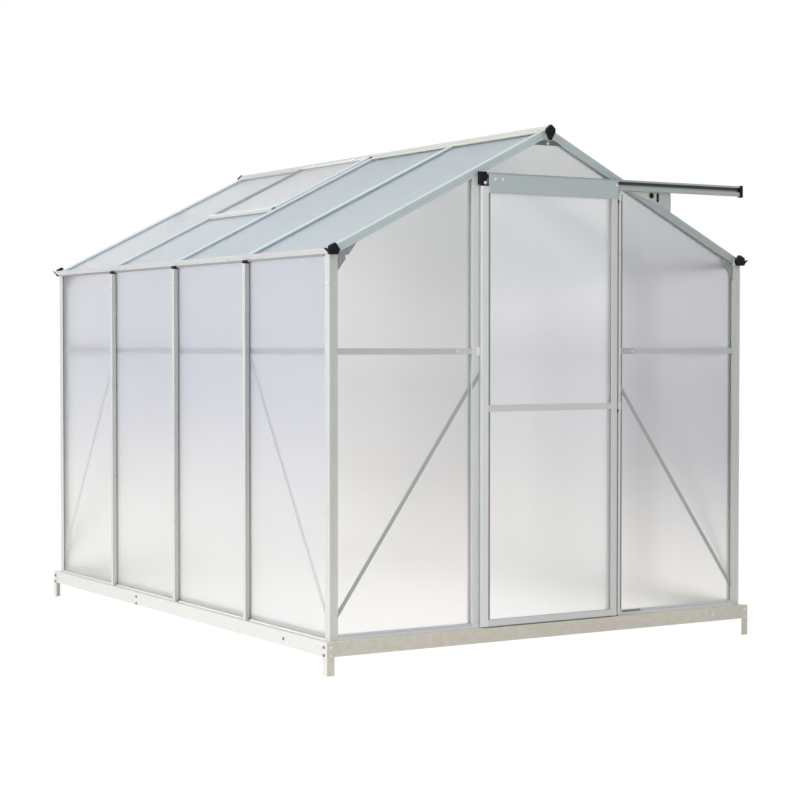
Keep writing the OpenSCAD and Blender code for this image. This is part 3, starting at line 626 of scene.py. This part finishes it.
def onFront(faceY):  # a basis that lays an outline on a face towards the front
    return Matrix(((1, 0, 0, 0), (0, 0, -1, faceY), (0, 1, 0, 0), (0, 0, 0, 1)))


boltShape = {
    "washerSides": 20,
    "washerEdges": (0.0002, 0.0003),  # how far its foot and its top draw in
    "nutSides": 6,
    "nutEnds": (0.94, 0.88),  # the widths of its foot and its top, as shares
    "nutFoot": 1.4,  # the height of its foot, in washers
    "nutTop": 0.0006,
    "stemSides": 12,
    "stemRise": 0.001,
    "stemTip": (0.6, 0.0018),
}


def bolt(form, point, direction, size):  # washer, six-sided nut and the rounded end of its bolt
    basis = facing(point, direction)
    washer = size["washer"]
    thick = size["thick"]
    nut = size["nut"]
    tall = size["tall"]
    stem = size["stem"]
    foot, top = boltShape["washerEdges"]
    steps = [(washer - foot, 0), (washer, thick / 2), (washer - top, thick)]
    turned(form, steps, boltShape["washerSides"], basis)
    foot, top = boltShape["nutEnds"]
    steps = [(nut * foot, thick), (nut, thick * boltShape["nutFoot"])]
    steps += [(nut, tall - boltShape["nutTop"]), (nut * top, tall)]
    turned(form, steps, boltShape["nutSides"], basis)
    share, rise = boltShape["stemTip"]
    steps = [(stem, thick), (stem, tall + boltShape["stemRise"]), (stem * share, tall + rise)]
    turned(form, steps, boltShape["stemSides"], basis)


smallBolt = {"washer": 0.0062, "thick": 0.0012, "nut": 0.0046, "tall": 0.0046, "stem": 0.0024}
baseBolt = {"washer": 0.0082, "thick": 0.0014, "nut": 0.0062, "tall": 0.0058, "stem": 0.0032}


# Bolts of the base: bright ones to the front and rear, dull ones on the sides
baseBolts = {
    "fromCorner": 0.016,
    "sideFromCorner": 0.021,
    "levels": (0.099, 0.071),
    "railX": 0.774,
    "railY": 0.945,
    "level": 0.091,
    "spliceFrom": 0.0145,  # from the splice plate's end
}
bright = bmesh.new()
dull = bmesh.new()
for low, high in solidBoxes("corner_stakes"):
    sideX = -1 if low.x < 0 else 1
    sideY = -1 if low.y < 0 else 1
    cornerX = low.x if sideX < 0 else high.x
    cornerY = low.y if sideY < 0 else high.y
    for level in baseBolts["levels"]:
        bolt(dull, (cornerX, cornerY - sideY * baseBolts["sideFromCorner"], level), xAxis * sideX, smallBolt)
        bolt(bright, (cornerX - sideX * baseBolts["fromCorner"], cornerY, level), yAxis * sideY, smallBolt)
baseLow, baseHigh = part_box("base_side_rails")
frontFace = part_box("base_front_rail")[0].y
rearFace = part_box("base_rear_rail")[1].y
for side in (-1, 1):
    webX = baseHigh.x if side > 0 else baseLow.x
    bolt(dull, (webX, -baseBolts["railY"], baseBolts["level"]), xAxis * side, smallBolt)
    bolt(bright, (side * baseBolts["railX"], rearFace, baseBolts["level"]), yAxis, baseBolt)
bolt(bright, (baseBolts["railX"], frontFace, baseBolts["level"]), -yAxis, baseBolt)
for low, high in solidBoxes("base_splice_plates"):
    side = -1 if low.x < 0 else 1
    webX = baseHigh.x if side > 0 else baseLow.x
    for level in baseBolts["levels"]:
        bolt(dull, (webX, low.y + baseBolts["spliceFrom"], level), xAxis * side, smallBolt)
finishPiece("base_bolts", bright, "bolt", "house")
finishPiece("side_bolts", dull, "plate", "house")


# Places that several pieces share
toSlope = leftSlope.inverted()
leftJamb, rightJamb = solidBoxes("door_jambs")
jambFace = rightJamb[0].y
jambEdge = rightJamb[1].x
trackLow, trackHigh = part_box("door_track")
sillLow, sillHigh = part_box("front_sill")
doorRails = sorted(solidBoxes("door_rails"), key=lambda pair: pair[0].z)
midRails = solidBoxes("front_gable_rails")
hands = (("left", -1), ("right", 1))


def roofLevel(x):
    return eaveEnd.z + (eaveEnd.x - abs(x)) * math.tan(pitch)


# Cleats that tie the mid rails to the jambs
cleat = {"length": 0.071, "thick": 0.0015, "margin": 0.001, "bolt": 0.059}
cleats = (("left_rail_cleat", "cleat", midRails[0], -1), ("right_rail_cleat", "blueCleat", midRails[1], 1))
for name, finish, rail, side in cleats:
    near = rail[1].x if side < 0 else rail[0].x
    span = sorted((near, near + side * cleat["length"]))
    form = bmesh.new()
    block(form, (span[0], rail[0].y - cleat["thick"], rail[0].z + cleat["margin"]),
          (span[1], rail[0].y, rail[1].z - cleat["margin"]))
    finishPiece(name, form, finish, "house")

# Bolts of the frame: near the tops of posts and studs, on the mid rails, the jamb and the gussets
frameBolts = {
    "studDrop": 0.071,
    "postDrop": 0.101,
    "postShare": 0.26,
    "jambEdge": 0.007,
    "jambLevel": 1.481,
    "ridgeRise": 0.0077,
}
form = bmesh.new()
for hand, side in hands:
    for low, high in solidBoxes(hand + "_wall_studs"):
        faceX = high.x if side > 0 else low.x
        bolt(form, (faceX, (low.y + high.y) / 2, high.z - frameBolts["studDrop"]), xAxis * side, smallBolt)
for node in ("front_corner_posts", "rear_corner_posts"):
    for low, high in solidBoxes(node):
        side = -1 if low.x < 0 else 1
        faceX = high.x if side > 0 else low.x
        place = low.y + (high.y - low.y) * frameBolts["postShare"]
        bolt(form, (faceX, place, high.z - frameBolts["postDrop"]), xAxis * side, smallBolt)
for low, high in midRails:
    near = high.x - cleat["bolt"] if low.x < 0 else low.x + cleat["bolt"]
    bolt(form, (near, low.y - cleat["thick"], (low.z + high.z) / 2), -yAxis, smallBolt)
bolt(form, (jambEdge - frameBolts["jambEdge"], jambFace, frameBolts["jambLevel"]), -yAxis, smallBolt)
for low, high in solidBoxes("gusset_plates"):
    if low.x < 0 < high.x:
        end = -1 if low.y < 0 else 1
        faceY = low.y if end < 0 else high.y
        bolt(form, (0, faceY, low.z + frameBolts["ridgeRise"]), yAxis * end, smallBolt)
finishPiece("frame_bolts", form, "bolt", "house")

gussetBolts = {"edge": 0.011, "postShare": 0.36, "rafterShare": 0.55, "drop": 0.0286}
form = bmesh.new()
for low, high in solidBoxes("gusset_plates"):
    if low.x < 0 < high.x:
        continue
    end = -1 if low.y < 0 else 1
    faceY = low.y if end < 0 else high.y
    side = -1 if low.x < 0 else 1
    outer = low.x if side < 0 else high.x
    level = low.z + (high.z - low.z) * gussetBolts["postShare"]
    along = outer - side * (high.x - low.x) * gussetBolts["rafterShare"]
    bolt(form, (outer - side * gussetBolts["edge"], faceY, level), yAxis * end, smallBolt)
    bolt(form, (along, faceY, high.z - gussetBolts["drop"]), yAxis * end, smallBolt)
finishPiece("gusset_bolts", form, "brace", "house")

# Black caps on the tops of the studs, and small grey clips at their feet
studEnds = {
    "cap": 0.012,
    "sunk": 0.0003,
    "wrap": 0.0006,
    "deep": 0.018,
    "clip": 0.005,
    "clipFrom": 0.010,
    "clipTall": 0.010,
}
caps = bmesh.new()
feet = bmesh.new()
wrap = studEnds["wrap"]
for hand, side in hands:
    for low, high in solidBoxes(hand + "_wall_studs"):
        outer = high.x if side > 0 else low.x
        span = sorted((outer + side * wrap, outer - side * studEnds["deep"]))
        block(caps, (span[0], low.y - wrap, high.z - studEnds["cap"]),
              (span[1], high.y + wrap, high.z - studEnds["sunk"]), softEdge)
        foot = sorted((outer - side * studEnds["clipFrom"], outer - side * studEnds["deep"]))
        for place in (low.y - studEnds["clip"], high.y):
            block(feet, (foot[0], place, low.z),
                  (foot[1], place + studEnds["clip"], low.z + studEnds["clipTall"]), softEdge)
finishPiece("stud_end_caps", caps, "plastic", "house")
finishPiece("stud_clips", feet, "greySealAndShade", "house")

# Grey gaskets under the eave rails, one in each bay, that also paint the shadow under the gutters, and screws
# on the gutters' lips
gasketAndShadow = {"height": 0.007, "depth": 0.006, "gap": 0.0005, "edge": 0.0015}
gutterScrews = {"reach": 0.020, "lip": 0.019, "places": (-0.483, -0.222, 0.222, 0.483)}
sealsAndShadow = bmesh.new()
screws = bmesh.new()
for hand, side in hands:
    eaveLow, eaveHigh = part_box(hand + "_eave_rail")
    sheetLow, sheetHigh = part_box(hand + "_wall_sheets")
    posts = [pair for name in ("front_corner_posts", "rear_corner_posts") for pair in solidBoxes(name)
             if pair[0].x * side > 0]
    stops = sorted(solidBoxes(hand + "_wall_studs") + posts, key=lambda pair: pair[0].y)
    sheetFace = sheetHigh.x if side > 0 else sheetLow.x
    span = sorted((sheetFace, sheetFace + side * gasketAndShadow["depth"]))
    for before, after in zip(stops, stops[1:]):
        block(sealsAndShadow, (span[0], before[1].y + gasketAndShadow["gap"], eaveLow.z - gasketAndShadow["height"]),
              (span[1], after[0].y - gasketAndShadow["gap"], eaveLow.z), gasketAndShadow["edge"])
    tip = eaveHigh.x if side > 0 else eaveLow.x
    outwards = Vector((side * gutterScrews["lip"], 0, -gutterScrews["reach"])).normalized()
    for place in gutterScrews["places"]:
        point = (tip - side * gutterScrews["reach"] / 2, place, eaveLow.z + gutterScrews["lip"] / 2)
        bolt(screws, point, outwards, smallBolt)
finishPiece("eave_gaskets_and_painted_shadow", sealsAndShadow, "greySealAndShade", "house")
finishPiece("gutter_screws", screws, "bolt", "house")
print("frame details done")

# Trim of the right jamb: a grey strip of painted shade for the gap beside the door, a white edge strip that
# is a painted highlight, and white clips level with the door's rails
jambTrim = {"shadeStrip": 0.010, "edge": 0.010, "thick": 0.0015, "end": 0.012}
clips = {"wide": 0.012, "over": 0.001, "tall": 0.028, "thick": 0.003, "shoe": 0.008, "shoeTall": 0.011}
edgeStart = jambEdge - jambTrim["edge"]
shadeStart = edgeStart - jambTrim["shadeStrip"]
trimFace = jambFace - jambTrim["thick"]
trimLow = sillHigh.z
trimHigh = trackLow.z - jambTrim["end"]
white = bmesh.new()
dark = bmesh.new()
jambShade = bmesh.new()
# painted highlight: the white strip along the jamb's edge
block(white, (edgeStart, trimFace, trimLow), (jambEdge, jambFace, trimHigh))
# painted shade: the grey strip for the gap beside the door
block(jambShade, (shadeStart, trimFace, trimLow), (edgeStart, jambFace, trimHigh))
for low, high in doorRails:
    level = (low.z + high.z) / 2
    block(white, (jambEdge - clips["wide"], jambFace - clips["thick"], level - clips["tall"] / 2),
          (jambEdge + clips["over"], jambFace, level + clips["tall"] / 2), softEdge)
    shoeTop = level - clips["tall"] / 2
    block(dark, (edgeStart - clips["shoe"], jambFace - clips["thick"], shoeTop - clips["shoeTall"]),
          (edgeStart, jambFace, shoeTop), softEdge)

# Catch on the left jamb: a white clip level with the mid rail
catch = {"from": 0.017, "wide": 0.014, "tall": 0.030}
catchX = leftJamb[0].x + catch["from"]
catchZ = (midRails[0][0].z + midRails[0][1].z) / 2
block(white, (catchX, jambFace - clips["thick"], catchZ - catch["tall"] / 2),
      (catchX + catch["wide"], jambFace, catchZ + catch["tall"] / 2), softEdge)
finishPiece("jamb_clips_and_painted_highlight", white, "whitePlastic", "house")
finishPiece("jamb_shoes", dark, "rubber", "house")
finishPiece("jamb_gap_painted_shade", jambShade, "greySealAndShade", "house")

# Ends of the front braces, lapped over the jambs
lap = {"reach": 0.026, "thick": 0.0012}
form = bmesh.new()
points = [vertex.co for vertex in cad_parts["front_gable_braces"].data.vertices]
for low, high in solidBoxes("front_gable_braces"):
    side = -1 if low.x < 0 else 1
    near = high.x if side < 0 else low.x
    far = low.x if side < 0 else high.x
    ends = {}
    for x in (near, far):
        levels = [point.z for point in points if abs(point.x - x) < weld]
        ends[x] = (min(levels), max(levels))
    climb = (ends[near][0] - ends[far][0]) / (near - far)
    lapX = near - side * lap["reach"]
    rise = climb * (lapX - near)
    bottom, top = ends[near]
    outline = [(near, bottom), (lapX, bottom + rise), (lapX, top + rise), (near, top)]
    plateShape(form, outline if side < 0 else outline[::-1], 0, lap["thick"], onFront(jambFace), fineEdge)
finishPiece("brace_laps", form, "brace", "house")

# Grey strips of painted shade: beside the right jamb on the gable sheet, and the painted shadow of the door's
# left stile on its sheet
sheetShade = {"wide": 0.017, "thick": 0.002, "doorWide": 0.009, "doorThick": 0.0015}
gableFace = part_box("front_gable_sheets")[0].y
form = bmesh.new()
for bottom, top in ((trimLow, midRails[1][0].z), (midRails[1][1].z, trimHigh)):
    block(form, (jambEdge, gableFace - sheetShade["thick"], bottom),
          (jambEdge + sheetShade["wide"], gableFace, top))
finishPiece("gable_jamb_painted_shade", form, "greySealAndShade", "house")
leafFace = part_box("door_sheets")[0].y
stileEdge = solidBoxes("door_stiles")[0][1].x
form = bmesh.new()
for below, above in zip(doorRails, doorRails[1:]):
    block(form, (stileEdge, leafFace - sheetShade["doorThick"], below[1].z),
          (stileEdge + sheetShade["doorWide"], leafFace, above[0].z))
finishPiece("door_stile_painted_shadow", form, "greySealAndShade", "door")

# Painted shade of the channel along the front sill: a blue-grey strip a little above its top, darker next to
# the door
channelShade = {
    "tall": 0.010,
    "thick": 0.0008,
    "rise": 0.004,
    "darkFrom": 0.012,
    "darkTo": 0.098,
    "darkThick": 0.0014,
    "darkIn": 0.001,
}
channelTop = sillHigh.z + channelShade["rise"]
channelLow = channelTop - channelShade["tall"]
form = bmesh.new()
for start, stop in ((sillLow.x, leftJamb[0].x), (jambEdge, sillHigh.x)):
    block(form, (start, sillLow.y - channelShade["thick"], channelLow), (stop, sillLow.y, channelTop), fineEdge)
finishPiece("sill_channel_shade", form, "channelShade", "house")
form = bmesh.new()
darkFace = sillLow.y - channelShade["darkThick"]
block(form, (jambEdge + channelShade["darkFrom"], darkFace, channelLow + channelShade["darkIn"]),
      (jambEdge + channelShade["darkTo"], sillLow.y, channelTop - channelShade["darkIn"]))
finishPiece("sill_groove_painted_shade", form, "greySealAndShade", "house")
print("door trim done")

# Track: a dark strip in its groove that paints the groove's shade, screw and teeth on the left stop
grooveShade = {"back": 0.0025, "thick": 0.0008, "low": 0.022, "high": 0.0328}
form = bmesh.new()
block(form, (trackLow.x, trackHigh.y - grooveShade["back"] - grooveShade["thick"], trackLow.z + grooveShade["low"]),
      (trackHigh.x, trackHigh.y - grooveShade["back"], trackLow.z + grooveShade["high"]), fineEdge)
finishPiece("track_groove_shade", form, "grooveShade", "house")
stopLow = solidBoxes("track_end_stops")[0][0]
stopTrim = {
    "screw": 0.022,
    "level": 0.0055,
    "teeth": 3,
    "from": 0.006,
    "step": 0.009,
    "tooth": 0.005,
    "deep": 0.006,
}
form = bmesh.new()
bolt(form, (stopLow.x + stopTrim["screw"], stopLow.y, stopLow.z + stopTrim["level"]), -yAxis, smallBolt)
finishPiece("stop_screw", form, "bolt", "house")
form = bmesh.new()
for step in range(stopTrim["teeth"]):
    place = stopLow.x + stopTrim["from"] + step * stopTrim["step"]
    block(form, (place, stopLow.y, stopLow.z - stopTrim["tooth"]),
          (place + stopTrim["tooth"], stopLow.y + stopTrim["deep"], stopLow.z), softEdge)
finishPiece("stop_teeth", form, "plastic", "house")

# Bracket: a face plate that lies over the rafter, a yellowish corner beside it that is painted light on the
# rafter, a folded edge, a plug and a slot
bracketLow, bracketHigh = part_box("track_bracket")
bracketTrim = {
    "tip": (0.1934, 0.0028),  # places from the bracket's right edge, and below the track
    "seamLow": (0.1099, 0.0303),
    "seamHigh": (0.1062, 0.0004),
    "heel": (0.0030, 0.0690),
    "edge": (0.0009, 0.0007),
    "thick": 0.0012,
    "fold": 0.004,
    "foldProud": 0.0006,
    "foldLift": 0.002,
    "plug": 0.0105,
    "plugAt": (0.0928, 0.0130),
    "plugSides": 28,
    "plugSteps": ((1, 0), (1, 0.0010), (0.9, 0.0016), (0.4, 0.0020)),  # share of its radius, and height
    "slot": (0.010, 0.033),
    "slotAt": (0.0630, 0.0193),
    "slotProud": 0.0010,
    "slotEdge": 0.0004,
}


def onBracket(place):
    return bracketHigh.x - place[0], trackLow.z - place[1]


def bracketPlate(name, corners, finish):
    form = bmesh.new()
    outline = [onBracket(bracketTrim[corner]) for corner in corners]
    plateShape(form, outline, 0, bracketTrim["thick"], onFront(bracketLow.y), fineEdge)
    finishPiece(name, form, finish, "house")


bracketPlate("bracket_corner_painted_light", ("tip", "seamLow", "seamHigh"), "cleat")
bracketPlate("bracket_plate", ("seamLow", "heel", "edge", "seamHigh"), "bracket")
bracketFace = bracketLow.y - bracketTrim["thick"]
form = bmesh.new()
foldFace = bracketFace - bracketTrim["foldProud"]
block(form, (bracketHigh.x - bracketTrim["fold"], foldFace, bracketLow.z + bracketTrim["foldLift"]),
      (bracketHigh.x, bracketLow.y, trackLow.z), fineEdge)
finishPiece("bracket_fold", form, "brace", "house")
form = bmesh.new()
plug = bracketTrim["plug"]
plugX, plugZ = onBracket(bracketTrim["plugAt"])
profile = [(plug * share, height) for share, height in bracketTrim["plugSteps"]]
turned(form, profile, bracketTrim["plugSides"], facing((plugX, bracketFace, plugZ), -yAxis))
slotX, slotZ = onBracket(bracketTrim["slotAt"])
wide, tall = bracketTrim["slot"]
block(form, (slotX - wide / 2, bracketFace - bracketTrim["slotProud"], slotZ - tall / 2),
      (slotX + wide / 2, bracketFace, slotZ + tall / 2), bracketTrim["slotEdge"])
finishPiece("bracket_plugs", form, "plastic", "house")

# Door: bolts on the top plate
plateLow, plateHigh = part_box("door_top_plate")
plateBolts = {"left": (0.026, 0.059), "right": 0.008, "drop": 0.018}
form = bmesh.new()
for place in [plateLow.x + gap for gap in plateBolts["left"]] + [plateHigh.x - plateBolts["right"]]:
    bolt(form, (place, plateLow.y, plateHigh.z - plateBolts["drop"]), -yAxis, smallBolt)
finishPiece("top_plate_bolts", form, "bolt", "door")
print("track and door details done")

# Vent: a grey and a white plug on the ends of its bottom bar, hinges at the ridge, a blue-grey strip over its
# rear bar that paints the shade of the gap beside it
ventFoot, ventHead = sorted(solidBoxes("vent_end_bars", toSlope), key=lambda pair: pair[0].x)
rearSide = max(solidBoxes("vent_side_bars", toSlope), key=lambda pair: pair[1].y)
ventTrim = {
    "plug": 0.006,
    "darkPlug": 0.003,
    "proud": 0.002,
    "sleeve": 0.0008,  # how far the strip of painted shade over the rear bar stands out from it
    "sleeveFrom": 0.004,
    "hinge": (0.014, 0.034, 0.004),
    "hingeAt": (0.2, 0.8),
    "hingeIn": 0.004,
}
form = bmesh.new()
block(form, (ventFoot[0].x, ventFoot[0].y - ventTrim["darkPlug"], ventFoot[0].z),
      (ventFoot[1].x, ventFoot[0].y, ventFoot[1].z), softEdge, leftSlope)
finishPiece("vent_plug", form, "greySealAndShade", "house")
form = bmesh.new()
sleeve = ventTrim["sleeve"]
block(form, (rearSide[0].x, rearSide[0].y - sleeve, rearSide[0].z + ventTrim["sleeveFrom"]),
      (rearSide[1].x, rearSide[1].y + sleeve, rearSide[1].z + sleeve), barEdge, leftSlope)
finishPiece("vent_rear_gap_shade", form, "ventGapShade", "house")
form = bmesh.new()
plugEnd = ventFoot[1].y + ventTrim["plug"]
block(form, (ventFoot[0].x, ventFoot[1].y, ventFoot[0].z),
      (ventFoot[1].x, plugEnd, ventFoot[1].z + ventTrim["proud"]), softEdge, leftSlope)
deep, wide, tall = ventTrim["hinge"]
for share in ventTrim["hingeAt"]:
    place = ventHead[0].y + (ventHead[1].y - ventHead[0].y) * share
    start = ventHead[0].x + ventTrim["hingeIn"]
    block(form, (start, place - wide / 2, ventHead[1].z),
          (start + deep, place + wide / 2, ventHead[1].z + tall), softEdge, leftSlope)
finishPiece("vent_hinges", form, "whitePlastic", "house")

# Ridge: a passivated lip in front of the vent, and a plug at its end
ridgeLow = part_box("ridge_rail")[0]
lip = {
    "wide": 0.010,
    "gap": 0.0005,
    "deep": 0.0065,
    "proud": 0.002,
    "front": 0.035,
    "short": 0.015,
    "plug": 0.006,
    "plugSides": 20,
    "plugSteps": ((1, 0), (1, 0.003), (0.6, 0.0045)),
}
ridgeTop = (toSlope @ Vector((ridgeLow.x, 0, roofLevel(ridgeLow.x)))).x
lipEnd = ventHead[0].y - lip["short"]
form = bmesh.new()
block(form, (ridgeTop - lip["wide"], ridgeLow.y + lip["front"], -lip["deep"]),
      (ridgeTop - lip["gap"], lipEnd, lip["proud"]), barEdge, leftSlope)
finishPiece("ridge_lip", form, "cleat", "house")
form = bmesh.new()
profile = [(lip["plug"] * share, height) for share, height in lip["plugSteps"]]
plugPlace = Matrix.Translation((ridgeTop - lip["wide"] / 2, lipEnd, lip["proud"]))
turned(form, profile, lip["plugSides"], leftSlope @ plugPlace)
finishPiece("ridge_plug", form, "plastic", "house")
print("roof details done")


# Stage: floor, light and camera
floorLook = {
    "colour": (0.93, 0.925, 0.915, 1),
    "pale": (0.95, 0.945, 0.935, 1),
    "clouds": 0.8,
    "half": 30,
    "level": -0.0005,
    "lift": 0.74,  # how much of the glow shows, so that the floor is white behind the object
    "glow": 1.2,
}
material, shade = newFinish("studio_floor")
paper = shade.noise(shade.place(), floorLook["clouds"])
matt = shade.node("BsdfDiffuse", {}, {"Color": shade.mix(paper, floorLook["colour"], floorLook["pale"])})
glow = shade.node("Emission", {}, {"Strength": floorLook["glow"]})
shader = shade.node("MixShader", {}, {0: shade.seenBehind() * floorLook["lift"], 1: matt, 2: glow})
shade.node("OutputMaterial", {}, {"Surface": shader})
form = bmesh.new()
bmesh.ops.create_grid(form, x_segments=8, y_segments=8, size=floorLook["half"])
mesh = bpy.data.meshes.new("studio_floor")
form.to_mesh(mesh)
form.free()
mesh.materials.append(material)
floor = bpy.data.objects.new("studio_floor", mesh)
floor.location.z = floorLook["level"]
bpy.context.scene.collection.objects.link(floor)

worldLook = {"ambient": 0.5, "white": 1.0}
world = bpy.data.worlds.new("studio")
world.use_nodes = True
bpy.context.scene.world = world
shade = Shade(world.node_tree)
strength = worldLook["ambient"] + shade.seenBehind() * (worldLook["white"] - worldLook["ambient"])
background = shade.node("Background", {}, {"Color": (1, 1, 1, 1), "Strength": strength})
shade.node("OutputWorld", {}, {"Surface": background})

lampAim = Vector((0, 0, 0.9))
lamps = {
    "key": {"place": (-7.5, -1.5, 4.2), "size": 5.0, "power": 490},
    "top": {"place": (-1.5, -2.0, 8.5), "size": 6.0, "power": 120},
}
for name, lamp in lamps.items():
    light = bpy.data.lights.new(name, "AREA")
    light.size = lamp["size"]
    light.energy = lamp["power"]
    holder = bpy.data.objects.new(name, light)
    holder.location = lamp["place"]
    aim = lampAim - Vector(lamp["place"])
    holder.rotation_euler = aim.to_track_quat("-Z", "Y").to_euler()
    holder.visible_transmission = False
    bpy.context.scene.collection.objects.link(holder)

cameraLook = {"place": (-4.2250, -7.1070, 1.1382), "turn": 31.433, "down": 1.591, "lens": 87.94, "sensor": 36}
view = bpy.data.cameras.new("photo_camera")
view.lens = cameraLook["lens"]
view.sensor_width = cameraLook["sensor"]
camera = bpy.data.objects.new("photo_camera", view)
camera.location = cameraLook["place"]
camera.rotation_euler = (math.radians(90 - cameraLook["down"]), 0, math.radians(-cameraLook["turn"]))
bpy.context.scene.collection.objects.link(camera)
bpy.context.scene.camera = camera
bpy.context.scene.view_settings.view_transform = "Standard"
print("stage set")
